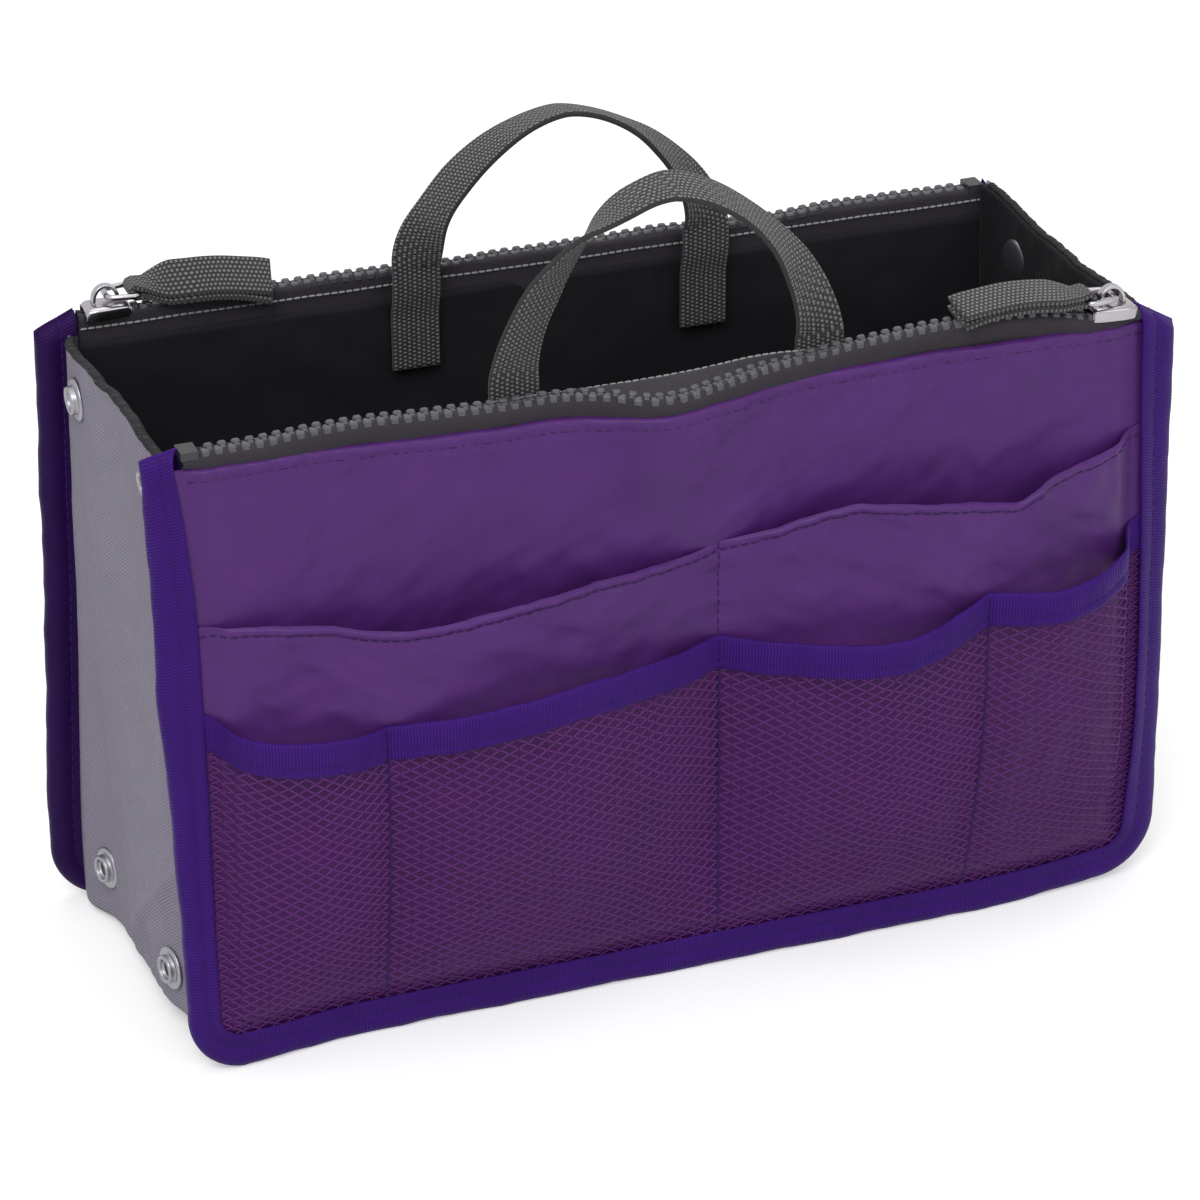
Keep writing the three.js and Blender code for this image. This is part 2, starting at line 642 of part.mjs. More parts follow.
/** The soft pleat between the cut end of the base and a gusset. */
function basePleat(end) {
  const outer = HALF_SPAN - GUSSET_THICKNESS - FOLD_CLEARANCE;
  const y = HALF_FOLD - clearOfFold(BASE_CLOTH);
  const points = [[outer, y], [baseEnd(HALF_FOLD - y) + FOLD_CLEARANCE, y]];
  points.push([baseEnd(HALF_FOLD) + FOLD_CLEARANCE, 0]);
  points.push([baseEnd(HALF_FOLD - y) + FOLD_CLEARANCE, -y], [outer, -y]);
  return extrude(shapeOf(points.map(([a, b]) => [end * a, b])), FLANGE, FLANGE + BASE_CLOTH, alongZ);
}

/** A turned snap piece from half its outline, facing out of the gusset or into the organizer. */
function snapPiece(profile, end, side, z, depth, outward) {
  const points = profile.map(([radius, height]) => new THREE.Vector2(radius, height));
  const geometry = new THREE.LatheGeometry(points, SNAP_SIDES);
  geometry.rotateZ(outward * end > 0 ? -Math.PI / 2 : Math.PI / 2);
  const y = side * (HALF_FOLD - SNAP_FROM_WALL);
  return geometry.translate(end * (HALF_SPAN - depth), y, z);
}

const SOCKET = [
  [SNAP_HOLE_RADIUS, 0],
  [SNAP_RADIUS, 0],
  [SNAP_RADIUS, SOCKET_HEIGHT / 2],
  [SNAP_RADIUS - SOCKET_HEIGHT / 2, SOCKET_HEIGHT],
  [SNAP_HOLE_RADIUS, SOCKET_HEIGHT / 2],
  [SNAP_HOLE_RADIUS, 0],
];
const CAP = [
  [0, 0],
  [SNAP_RADIUS, 0],
  [SNAP_RADIUS - CAP_HEIGHT, CAP_HEIGHT],
  [0, CAP_HEIGHT],
];

const SNAP_LEVELS = [
  ['lower', FLANGE + SNAP_ABOVE_SEAM],
  ['upper', GUSSET_TOP - SNAP_BELOW_TOP],
];

// The two walls, each with its zip, slider and handle
const WALLS = [
  { name: 'front', side: FRONT, towards: LEFT, rise: FRONT_HANDLE_RISE },
  { name: 'rear', side: REAR, towards: RIGHT, rise: REAR_HANDLE_RISE },
];
for (const { name, side, towards, rise } of WALLS) {
  const cloth = wallShape(BINDING_CLOTH + LAY, PANEL_TOP);
  piece(`${name}_outer_panel`, wallPlate(side, cloth, 0, PANEL_CLOTH), NYLON);
  const liningAt = WALL_THICKNESS - LINING_CLOTH;
  piece(`${name}_lining_panel`, wallPlate(side, cloth, liningAt, WALL_THICKNESS), LINING);
  piece(`${name}_binding`, binding(side), GROSGRAIN);
  piece(`${name}_zip_outer_tape`, zipTape(side, true), ZIP_TAPE);
  piece(`${name}_zip_inner_tape`, zipTape(side, false), ZIP_TAPE);
  piece(`${name}_zip_end_stop`, chainStop(side, towards), STOP_PLASTIC);
  const rest = -towards * SLIDER_REST;
  piece(`${name}_zip_slider`, slider(side, rest), BRIGHT_METAL);
  piece(`${name}_zip_pull_ring`, pullRing(side, rest, towards), BRIGHT_METAL);
  piece(`${name}_zip_pull_strap`, pullStrap(side, rest, towards), WEB);
  for (const [hand, end] of [['left', LEFT], ['right', RIGHT]]) {
    const x = HANDLE_CENTRE + (end * HANDLE_SPAN) / 2;
    piece(`${name}_handle_${hand}_end`, handleTab(side, x), WEB);
  }
  piece(`${name}_handle`, handle(side, rise), WEB);
}

// Outside pockets
piece('front_fabric_pockets', pocketCloth(FRONT, FABRIC_TIER, fabricOffset), NYLON);
piece('rear_slip_pockets', pocketCloth(REAR, REAR_TIER, rearOffset), NYLON);
NET_TIER.seamShares.slice(1).forEach((_, number) => {
  piece(`mesh_pocket_${number + 1}`, pocketNet(number), NETTING);
});
piece('mesh_pocket_top_tape', netTape(), GROSGRAIN);

// Gussets with their snaps
for (const [hand, end] of [['left', LEFT], ['right', RIGHT]]) {
  for (const [name, side] of [['front', FRONT], ['rear', REAR]]) {
    const gusset = `${hand}_gusset_${name}`;
    piece(`${gusset}_panel`, gussetHalf(end, side, 0, GUSSET_CLOTH, true), TWILL);
    const lining = gussetHalf(end, side, GUSSET_LINING_AT, GUSSET_THICKNESS, false);
    piece(`${gusset}_lining`, lining, LINING);
    for (const [level, z] of SNAP_LEVELS) {
      const socket = snapPiece(SOCKET, end, side, z, -LAY, 1);
      piece(`${hand}_${name}_${level}_snap_socket`, socket, SNAP_METAL);
      const cap = snapPiece(CAP, end, side, z, GUSSET_THICKNESS + LAY, -1);
      piece(`${hand}_${name}_${level}_snap_cap`, cap, SNAP_METAL);
    }
  }
}

// Base
piece('base_front_panel', baseHalf(FRONT), TWILL);
piece('base_rear_panel', baseHalf(REAR), TWILL);
piece('left_base_pleat', basePleat(LEFT), TWILL);
piece('right_base_pleat', basePleat(RIGHT), TWILL);

// The origin lies on the floor, under the middle of the whole organizer
const extent = new THREE.Box3().setFromObject(organizer);
organizer.position.y = -extent.getCenter(new THREE.Vector3()).y;

export default organizer;
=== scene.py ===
# %% [markdown]
# # Dressing a purse organizer insert
#
# The organizer is a sewn thing: two zipped nylon walls stand on their bound edges, a creased
# gusset at each end and a creased base join them, and pockets, snaps and webbing handles are
# sewn on. The CAD model gives each of these pieces its place and its joint. This lesson gives
# them their cloth: folds, ribs, teeth, strands, stitches and light.
#
# Sizes below are in millimetres, because that is how a maker measures a bag. They turn into
# metres in one place, where a mesh is made. +X runs along the walls, +Y towards the rear wall
# and +Z up.

# %% The frame
import math

import bpy
import numpy as np
from mathutils import Matrix, Vector


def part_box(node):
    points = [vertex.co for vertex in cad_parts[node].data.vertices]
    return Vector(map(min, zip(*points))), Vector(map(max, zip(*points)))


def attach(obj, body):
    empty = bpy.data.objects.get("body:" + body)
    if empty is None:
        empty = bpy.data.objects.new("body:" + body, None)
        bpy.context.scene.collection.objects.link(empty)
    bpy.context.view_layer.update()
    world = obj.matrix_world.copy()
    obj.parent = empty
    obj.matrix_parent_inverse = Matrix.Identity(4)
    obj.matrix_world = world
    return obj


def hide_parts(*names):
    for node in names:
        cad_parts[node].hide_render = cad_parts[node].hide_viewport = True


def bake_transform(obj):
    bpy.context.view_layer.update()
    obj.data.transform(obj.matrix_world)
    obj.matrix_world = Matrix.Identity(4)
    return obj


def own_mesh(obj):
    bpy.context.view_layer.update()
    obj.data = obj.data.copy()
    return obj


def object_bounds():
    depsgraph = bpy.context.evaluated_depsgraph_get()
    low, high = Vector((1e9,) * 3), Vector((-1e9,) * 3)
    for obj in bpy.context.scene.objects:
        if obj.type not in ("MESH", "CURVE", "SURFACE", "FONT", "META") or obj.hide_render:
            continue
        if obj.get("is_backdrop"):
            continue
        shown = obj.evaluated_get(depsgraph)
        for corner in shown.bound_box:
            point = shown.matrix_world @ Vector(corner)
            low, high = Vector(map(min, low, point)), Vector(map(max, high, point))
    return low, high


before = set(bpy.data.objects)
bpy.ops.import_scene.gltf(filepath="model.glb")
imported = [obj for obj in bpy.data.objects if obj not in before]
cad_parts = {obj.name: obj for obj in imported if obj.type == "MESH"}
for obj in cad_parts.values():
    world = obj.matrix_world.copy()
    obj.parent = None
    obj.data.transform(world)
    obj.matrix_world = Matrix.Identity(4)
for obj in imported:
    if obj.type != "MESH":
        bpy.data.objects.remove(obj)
cad_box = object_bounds()
scene = bpy.context.scene
HANDS = {-1: "left", 1: "right"}
UP = [0, 0, 1]
TO_REAR = [0, 1, 0]

# %% [markdown]
# ## The camera
#
# The photograph was taken from a little to the left and well above the organizer, from about
# a metre away. Perspective fixes those numbers: the rear wall looks smaller than the front one
# by an amount that only one distance gives. The camera's three axes are worked out from two
# angles and a small roll, which is easier to check than three Euler angles.

# %% The camera
AZIMUTH = math.radians(-19.709)
ELEVATION = math.radians(26.984)
ROLL = math.radians(-0.457)
DISTANCE = 1.147772
LOOKS_AT = Vector((-0.002572, 0.005803, 0.091612))

level = math.cos(ELEVATION)
backward = Vector((math.sin(AZIMUTH) * level, -math.cos(AZIMUTH) * level, math.sin(ELEVATION)))
rightward = Vector((math.cos(AZIMUTH), math.sin(AZIMUTH), 0))
upward = backward.cross(rightward)
rolled_right = rightward * math.cos(ROLL) + upward * math.sin(ROLL)
rolled_up = upward * math.cos(ROLL) - rightward * math.sin(ROLL)

camera_data = bpy.data.cameras.new("camera")
camera_data.sensor_width = 36
camera_data.lens = 125.52
camera = bpy.data.objects.new("camera", camera_data)
camera.matrix_world = (
    Matrix.Translation(LOOKS_AT + backward * DISTANCE)
    @ Matrix((rolled_right, rolled_up, backward)).transposed().to_4x4()
)
scene.collection.objects.link(camera)
scene.camera = camera
print(f"the camera stands {camera.location.z:.3f} m above the floor")

# %% [markdown]
# ## Cloth as a grid
#
# A piece of cloth is a function of two parameters: how far along it and how far across it a
# point lies. Worked out with numpy, the whole grid of points is one array, and its faces are
# another. The cloth's own UV map holds real millimetres along and across it, so a weave or a
# rib has its true size on every piece.

# %% Grids and meshes
MM = 0.001
WALL_CLOTH, THIN_CLOTH = 0.9, 0.7


def grid_faces(rows, columns, around=False):
    """Four-sided faces between the points of a grid. around joins the last column to the first.
    The second array gives each face corner its place in a grid with one more column, so that a
    seam in the UV map doesn't run backwards."""
    wide = columns + 1 if around else columns
    row, column = np.meshgrid(np.arange(rows - 1), np.arange(wide - 1), indexing="ij")
    row = row[..., None] + np.array([0, 0, 1, 1])
    column = column[..., None] + np.array([0, 1, 1, 0])
    faces = row * columns + column % columns
    corners = row * wide + column
    return faces.reshape(-1, 4), corners.reshape(-1, 4)


def make_piece(name, points, faces, uv=None, smooth=True):
    """An object at the origin from points in millimetres, faces as lists of point numbers, and
    a UV pair in millimetres for each corner of each face."""
    mesh = bpy.data.meshes.new(name)
    mesh.from_pydata((points.reshape(-1, 3) * MM).tolist(), [], [list(face) for face in faces])
    if uv is not None:
        layer = mesh.uv_layers.new(name="cloth")
        layer.data.foreach_set("uv", np.asarray(uv, np.float32).ravel())
    mesh.polygons.foreach_set("use_smooth", np.full(len(mesh.polygons), smooth))
    mesh.update()
    piece = bpy.data.objects.new(name, mesh)
    scene.collection.objects.link(piece)
    return piece


def lengths(points, axis):
    """Distance along a grid's rows or columns, as running sums of the steps' lengths."""
    steps = np.linalg.norm(np.diff(points, axis=axis), axis=2)
    start = np.zeros_like(np.take(steps, [0], axis=axis))
    return np.cumsum(np.concatenate([start, steps], axis=axis), axis=axis)


def cloth(name, points, flip=False):
    """An open sheet from a grid of points. UV is the distance along and across it, taken on its
    middle column and row."""
    rows, columns = points.shape[:2]
    faces, corners = grid_faces(rows, columns)
    along = lengths(points, 1)[rows // 2]
    across = lengths(points, 0)[:, columns // 2]
    u, v = np.meshgrid(along, across)
    uv = np.stack([u, v], -1).reshape(-1, 2)[corners]
    if flip:
        faces, uv = faces[:, ::-1], uv[:, ::-1]
    piece = make_piece(name, points, faces, uv)
    piece["flat"] = [along[-1] * MM, across[-1] * MM]
    return piece


def thicken(piece, thickness, towards=-1):
    """Gives a sheet its thickness: -1 grows it behind its faces, 1 in front of them."""
    solidify = piece.modifiers.new("thickness", "SOLIDIFY")
    solidify.thickness = thickness * MM
    solidify.offset = towards


def smooth_between(value, low, high):
    """0 below low, 1 above high, and an S-shaped curve between them."""
    share = np.clip((value - low) / (high - low), 0, 1)
    return share * share * (3 - 2 * share)


def curve(value, stops, heights):
    """A smooth curve through given heights: between two stops it is a cubic, whose slopes at both
    ends come from the neighbouring stops."""
    stops, heights = np.asarray(stops, float), np.asarray(heights, float)
    slopes = np.gradient(heights, stops)
    value = np.clip(value, stops[0], stops[-1])
    piece = np.clip(np.searchsorted(stops, value) - 1, 0, len(stops) - 2)
    width = stops[piece + 1] - stops[piece]
    share = (value - stops[piece]) / width
    start = slopes[piece] * width * share * (1 - share) ** 2
    end = slopes[piece + 1] * width * share**2 * (1 - share)
    level = heights[piece] + (heights[piece + 1] - heights[piece]) * share**2 * (3 - 2 * share)
    return level + start - end


def drift(along, wavelength, seed):
    """A slow wander between about -1 and 1: three sines whose lengths don't divide evenly."""
    turn = 2 * np.pi * np.asarray(along, float) / wavelength
    first = np.sin(turn + seed * 1.7)
    second = 0.6 * np.sin(turn * 1.83 + seed * 2.9)
    third = 0.35 * np.sin(turn * 3.31 + seed * 4.3)
    return (first + second + third) / 1.6


def folds(x, z, size, seed):
    """Soft folds in cloth, between about -1 and 1: waves of falling length in turned directions,
    each bent a little by the one before."""
    total = np.zeros(np.broadcast(x, z).shape)
    weights = 0
    for step in range(6):
        turn = seed * 2.1 + step * 1.9
        length = size / 1.45**step
        run = x * np.cos(turn) + z * np.sin(turn) + 0.25 * length * total
        weight = 0.75**step
        total = total + weight * np.sin(2 * np.pi * run / length + seed * 3.7 + step * 5.3)
        weights += weight
    return total / weights


print("grid helpers are ready")

# %% [markdown]
# ## Straps, wires and repeated parts
#
# A webbing handle, a wire ring and a zip's bridge are all one section carried along a path.
# Teeth and stitches are the other kind of repetition: one small solid, set down hundreds of
# times. Both are single array sums here, and each gives one closed mesh.

# %% Sweeps and copies


def unit(vectors):
    """Vectors of length one."""
    return vectors / np.linalg.norm(vectors, axis=-1, keepdims=True)


def along_path(path, closed=False):
    """The direction of a path at each of its points."""
    if closed:
        return unit(np.roll(path, -1, axis=0) - np.roll(path, 1, axis=0))
    return unit(np.gradient(path, axis=0))


def sweep(name, path, wide, thin, section, closed=False):
    """A section's points, as (wide, thin) pairs, carried along a path: each point is the path's
    point, plus its pair's first number along wide and its second along thin. A section may
    differ from one path point to the next."""
    section = np.broadcast_to(section, (len(path), *np.shape(section)[-2:]))
    points = path[:, None] + section[..., :1] * wide[:, None] + section[..., 1:] * thin[:, None]
    if closed:
        points = np.concatenate([points, points[:1]])
    rows, columns = points.shape[:2]
    faces, corners = grid_faces(rows, columns, around=True)
    run = lengths(points, 0)[:, 0]
    widths = np.concatenate([section[0, :, 0], section[0, :1, 0]])
    v, u = np.meshgrid(widths, run)
    uv = np.stack([u, v], -1).reshape(-1, 2)[corners]
    if closed:
        faces = faces % ((rows - 1) * columns)
        return make_piece(name, points[:-1], facing_out(points[:-1], faces), uv)
    first = np.arange(columns)
    last = first + (rows - 1) * columns
    every = [*faces, first[::-1], last]
    caps = np.zeros((2 * columns, 2))
    caps[:columns] = np.stack([np.zeros(columns), section[0, ::-1, 0]], -1)
    caps[columns:] = np.stack([np.full(columns, run[-1]), section[-1, :, 0]], -1)
    uv = np.concatenate([uv.reshape(-1, 2), caps])
    return make_piece(name, points, facing_out(points, every), uv)


def everywhere(direction, count):
    """One direction, repeated for each point of a path."""
    return np.tile(np.array(direction, float), (count, 1))


def turned_in(points, faces):
    """Whether closed faces look inwards: cut into triangles, they hold a negative volume."""
    fans = [(face[0], *pair) for face in faces for pair in zip(face[1:], face[2:])]
    a, b, c = points.reshape(-1, 3)[np.array(fans)].transpose(1, 0, 2)
    return np.sum(a * np.cross(b, c)) < 0


def facing_out(points, faces):
    """The faces as given, or all turned round if they look inwards."""
    return [face[::-1] for face in faces] if turned_in(points, faces) else faces


def rounded(width, thickness, radius, per_corner=3):
    """A rectangle with round corners, as a closed loop of (wide, thin) pairs."""
    turn = np.linspace(0, np.pi / 2, per_corner + 1)
    arc = np.stack([np.cos(turn), np.sin(turn)], -1) * radius
    reach = np.array([width / 2 - radius, thickness / 2 - radius])
    quarter = reach + arc
    mirrored = [quarter, (quarter * [-1, 1])[::-1], -quarter, (quarter * [1, -1])[::-1]]
    return np.concatenate(mirrored)


def varied(section, wide, thin):
    """A section whose width and thickness are multiplied by their own number at each point."""
    return section[None] * np.stack(np.broadcast_arrays(wide, thin), -1)[:, None]


def ringed(radius, sides):
    """A circle as a closed loop of pairs."""
    turn = np.arange(sides) / sides * 2 * np.pi
    return np.stack([np.cos(turn), np.sin(turn)], -1) * radius


def copies(name, template, faces, centres, along, across, above):
    """One small solid set down at each centre: a template's point (a, b, c) goes to the centre
    plus a, b and c times the three directions there."""
    directions = np.stack([along, across, above], 1)
    points = centres[:, None] + np.einsum("pk,nkx->npx", template, directions)
    offsets = np.arange(len(centres)) * len(template)
    every = []
    for face in faces:
        every.extend((np.array(face)[None] + offsets[:, None]).tolist())
    return make_piece(name, points, every)


def layered(layers):
    """A small closed solid from loops of equal length, one above the other."""
    count = len(layers[0])
    points = np.concatenate(layers)
    faces = [list(face) for face in grid_faces(len(layers), count, around=True)[0]]
    faces.append(list(range(count))[::-1])
    faces.append([count * (len(layers) - 1) + k for k in range(count)])
    return points, [list(face) for face in facing_out(points, faces)]


def plain_loop(half_a, half_b, cut, height):
    """A rectangle with its corners cut off, at a height, as eight points."""
    a, b = half_a - cut, half_b - cut
    pairs = [(half_a, -b), (half_a, b), (a, half_b), (-a, half_b)]
    pairs += [(-half_a, b), (-half_a, -b), (-a, -half_b), (a, -half_b)]
    return np.array([(x, y, height) for x, y in pairs])


print("sweeps and copies are ready")

# %% [markdown]
# ## Measures from the frame
#
# The CAD model already holds every place, so they are read from it instead of typed again.
# Each wall is a small object that knows which way is outwards, and turns a depth into its
# cloth, counted from its outer face, into a y.

# %% The walls


def corners(node):
    """A CAD node's lowest and highest corner, in millimetres."""
    low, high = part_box(node)
    return np.array(low) / MM, np.array(high) / MM


class Wall:
    """One wall: its name, the sign of its outward y, and the y of its outer face."""

    def __init__(self, name, out):
        self.name = name
        self.out = out
        low, high = corners(f"{name}_outer_panel")
        self.face = high[1] if out > 0 else low[1]
        inner_low, inner_high = corners(f"{name}_lining_panel")
        inner = inner_low[1] if out > 0 else inner_high[1]
        self.thickness = abs(inner - self.face)
        self.middle = self.y(self.thickness / 2)

    def y(self, inward):
        return self.face - self.out * inward

    @property
    def body(self):
        return f"{self.name}_wall"


FRONT = Wall("front", -1)
REAR = Wall("rear", 1)
WALLS = (FRONT, REAR)
HALF_LENGTH, _, BINDING_TOP = corners("front_binding")[1]
PANEL_TOP = corners("front_outer_panel")[1][2]
CHAIN_TOP = corners("front_zip_outer_tape")[1][2]
FLANGE = 11
HALF_SPAN = HALF_LENGTH - FLANGE
CORNER = 17
GUSSET_TOP = corners("left_gusset_front_panel")[1][2]
CREASE_Y = (FRONT.middle + REAR.middle) / 2
HALF_FOLD = 43.6
print(f"walls {FRONT.thickness:.1f} mm thick, faces at {FRONT.face:.1f} and {REAR.face:.1f}")
print(f"binding to {BINDING_TOP:.1f}, chain to {CHAIN_TOP:.1f}, gusset to {GUSSET_TOP:.1f}")

# %% [markdown]
# The CAD walls are straight, as they are cut. In use the soft ends stand a few millimetres in
# or out of that line, and more so near the floor. Each end's drift is a curve over the height,
# and one function moves every layer of a wall by it, so the layers stay together.

# %% How the walls stand in use
ENDS = {
    ("front", "left"): (
        [0, 11, 34, 65, 100, 138, 160, 178],
        [-3.4, -3.4, -3.7, -4.4, -4.7, -4.9, -3.5, -1.5],
    ),
    ("front", "right"): ([0, 10, 37, 75, 118, 150, 178], [5.2, 5.6, 6.0, 5.4, 4.2, 2.9, 2.2]),
    ("rear", "left"): ([0, 19, 58, 95, 125, 154, 178], [7.4, 7.4, 5.8, 3.8, 2.9, 1.9, 1.2]),
    ("rear", "right"): ([0, 90, 178], [2.0, 1.5, -1.0]),
}


def end_drift(wall, hand, z):
    """How far outwards of the straight wall its end stands, at a height."""
    return curve(z, *ENDS[wall.name, hand])


DRIFT_FADE = 46
LEFT_STEP, RIGHT_STEP, STEP_TOP = 4.2, 3.2, 70
CORNER_LIFT = 1.8


def settle(wall, points):
    """Moves a wall's cloth by its ends' drifts, which fade towards the middle of the wall. The
    front wall's left foot also steps forward and its right one back."""
    x, y, z = points[..., 0], points[..., 1], points[..., 2]
    left = 1 - smooth_between(x, -HALF_SPAN, -HALF_SPAN + DRIFT_FADE)
    right = smooth_between(x, HALF_SPAN - DRIFT_FADE, HALF_SPAN)
    moved = points.copy()
    moved[..., 0] = x - left * end_drift(wall, "left", z) + right * end_drift(wall, "right", z)
    if wall is FRONT:
        foot = 1 - smooth_between(z, 0, STEP_TOP)
        moved[..., 1] = y + (RIGHT_STEP * right - LEFT_STEP * left) * foot
        lifted = right * foot * smooth_between(x, HALF_SPAN - 30, HALF_LENGTH)
        moved[..., 2] = z + CORNER_LIFT * lifted
    return moved


def on_wall(wall, x, out, z):
    """Points of a wall's cloth, from a distance out of its face, moved as the wall is."""
    return settle(wall, np.stack(np.broadcast_arrays(x, wall.y(-out), z), -1))


RIGHT_OVERLAP = 2.8
TUCK_WIDTH = 7


def tucked(x, z):
    """1 at the binding's inner edge and under it, 0 from seven millimetres inside it. On the
    right the binding laps further over the wall."""
    return 1 - smooth_between(from_binding(x, z, RIGHT_OVERLAP * (x > 0)), 0, TUCK_WIDTH)


print(f"ends drift by up to {max(max(map(abs, shift)) for _, shift in ENDS.values())} mm")

# %% [markdown]
# ## Finishes
#
# A finish is a small tree of nodes. Writing one by hand means dozens of lines that only join
# sockets, so two helpers do that: Value wraps a node's output, and Python's own + - * / on it
# add Math nodes. Nodes.node makes every other node. The weave, ribs and floats are sums and
# products of waves in the cloth's UV map, which is in millimetres.

# %% Node helpers


def srgb(red, green, blue):
    """A colour seen on a screen, 0 to 255, as the linear colour that a shader takes."""
    seen = np.array([red, green, blue]) / 255
    linear = np.where(seen <= 0.04045, seen / 12.92, ((seen + 0.055) / 1.055) ** 2.4)
    return (*linear.tolist(), 1)


class Value:
    """A node's output. Arithmetic on it adds Math nodes to its tree."""

    def __init__(self, nodes, socket):
        self.nodes = nodes
        self.socket = socket

    def math(self, operation, first, second=0.0):
        settings = {"operation": operation}
        return self.nodes.node("ShaderNodeMath", settings, {0: first, 1: second})

    def __add__(self, other):
        return self.math("ADD", self, other)

    def __sub__(self, other):
        return self.math("SUBTRACT", self, other)

    def __mul__(self, other):
        return self.math("MULTIPLY", self, other)

    def __truediv__(self, other):
        return self.math("DIVIDE", self, other)

    def __rsub__(self, other):
        return self.math("SUBTRACT", other, self)

    def __rtruediv__(self, other):
        return self.math("DIVIDE", other, self)

    __radd__ = __add__
    __rmul__ = __mul__

    def wave(self, wavelength, shift=0.0):
        """A smooth wave from 0 to 1 and back over each wavelength."""
        return self.math("SINE", self * (2 * math.pi / wavelength) + shift) * 0.5 + 0.5

    def clipped(self):
        return self.math("MINIMUM", self.math("MAXIMUM", self, 0.0), 1.0)

    def step(self, edge, softness):
        """0 below the edge, 1 above it, over a softness in the value's own units."""
        return ((self - (edge - softness / 2)) / softness).clipped()

    def power(self, exponent):
        return self.math("POWER", self, exponent)

    def whole(self):
        return self.math("FLOOR", self)

    def part(self):
        return self.math("FRACT", self)


class Nodes:
    """The node tree of a material or of the world, and the methods that add nodes to it."""

    def __init__(self, owner):
        owner.use_nodes = True
        self.tree = owner.node_tree
        self.tree.nodes.clear()

    def node(self, kind, settings=None, values=None, output=0):
        made = self.tree.nodes.new(kind)
        for name, setting in (settings or {}).items():
            setattr(made, name, setting)
        for key, value in (values or {}).items():
            self.give(made.inputs[key], value)
        return Value(self, made.outputs[output]) if made.outputs else made

    def give(self, socket, value):
        if isinstance(value, Value):
            self.tree.links.new(value.socket, socket)
        else:
            socket.default_value = value

    def mix(self, factor, low, high):
        """low where the factor is 0 and high where it is 1, for colours."""
        return self.node("ShaderNodeMix", {"data_type": "RGBA"}, {0: factor, 6: low, 7: high}, 2)

    def seen_directly(self):
        """1 for rays that come from the camera, straight, mirrored or through something."""
        camera = self.node("ShaderNodeLightPath")
        outputs = camera.socket.node.outputs
        glossy = Value(self, outputs["Is Glossy Ray"])
        return (camera + glossy + Value(self, outputs["Is Transmission Ray"])).clipped()


class Finish(Nodes):
    """A material with one Principled shader."""

    def __init__(self, name, **constants):
        self.material = bpy.data.materials.new(name)
        super().__init__(self.material)
        values = {socket.replace("_", " "): constant for socket, constant in constants.items()}
        surface = self.node("ShaderNodeBsdfPrincipled", None, values)
        self.shader = surface.socket.node
        self.node("ShaderNodeOutputMaterial", None, {0: surface})

    def on_cloth(self):
        """The millimetres along and across the piece's own cloth."""
        uv = self.node("ShaderNodeUVMap", {"uv_map": "cloth"})
        parts = self.node("ShaderNodeSeparateXYZ", None, {0: uv})
        return parts, Value(self, parts.socket.node.outputs[1])

    def in_space(self):
        return self.node("ShaderNodeTexCoord", None, None, 3)

    def noise(self, size, detail=2.0, roughness=0.5):
        """Cloudy noise in space, with lumps of a size in millimetres."""
        values = {"Vector": self.in_space(), "Scale": 1000 / size, "Detail": detail}
        values["Roughness"] = roughness
        return self.node("ShaderNodeTexNoise", None, values)

    def relief(self, height, depth):
        """Turns a height from 0 to 1 into bumps of a depth in millimetres."""
        return self.node("ShaderNodeBump", None, {"Height": height, "Distance": depth * MM})

    def show(self, color, roughness=None, normal=None):
        self.give(self.shader.inputs["Base Color"], color)
        if roughness is not None:
            self.give(self.shader.inputs["Roughness"], roughness)
        if normal is not None:
            self.give(self.shader.inputs["Normal"], normal)
        return self.material


def shade(color, factor):
    """A linear colour made darker or lighter."""
    return (*(min(part * factor, 1) for part in color[:3]), 1)


print("node helpers are ready")

# %% [markdown]
# ### Nylon
#
# The walls and the pockets are a fine, slightly shiny nylon. Close to, it is a plain weave of
# round yarns, about half a millimetre apart. From a step away, what shows is a soft change of
# tone where the cloth has been handled, and a satin gloss that is a little uneven.

# %% Nylon


def nylon(name, color, behind_net=None):
    """Plain weave: two waves, one along each yarn direction, mixed by a slow noise. Where the
    cloth lies behind the net, its own colour is mixed in by the below_net attribute."""
    finish = Finish(name, Sheen_Weight=0.03, Sheen_Roughness=0.4, Specular_IOR_Level=0.26)
    along, across = finish.on_cloth()
    weave = along.wave(0.55) * across.wave(0.55)
    handled = finish.noise(22, 3, 0.6)
    slub = finish.noise(1.6, 2, 0.7)
    tone = handled * 0.75 + slub * 0.25
    dark, light = shade(color, 0.62), shade(color, 1.36)
    if behind_net:
        below = finish.node("ShaderNodeAttribute", {"attribute_name": "below_net"}, None, 2)
        dark = finish.mix(below, dark, shade(behind_net, 0.62))
        light = finish.mix(below, light, shade(behind_net, 1.36))
    base = finish.mix(tone, dark, light)
    woven = finish.mix(weave * 0.3, base, shade(color, 1.5))
    gloss = 0.36 + handled * 0.16 - weave * 0.05
    height = weave * 0.45 + slub * 0.55
    return finish.show(woven, gloss, finish.relief(height, 0.12))


PURPLE = srgb(78, 35, 107)
MAGENTA = srgb(75, 15, 91)
nylon_finish = nylon("purple_nylon", PURPLE)
pocket_finish = nylon("pocket_nylon", PURPLE, MAGENTA)
print("nylon: weave every 0.55 mm")

# %% [markdown]
# ### Grosgrain
#
# The walls' edges and the top of the mesh pockets are bound in grosgrain, a tape with ribs
# across it. Each rib is about a millimetre wide and catches the light along its crown, with a
# dark line between two ribs.

# %% Grosgrain


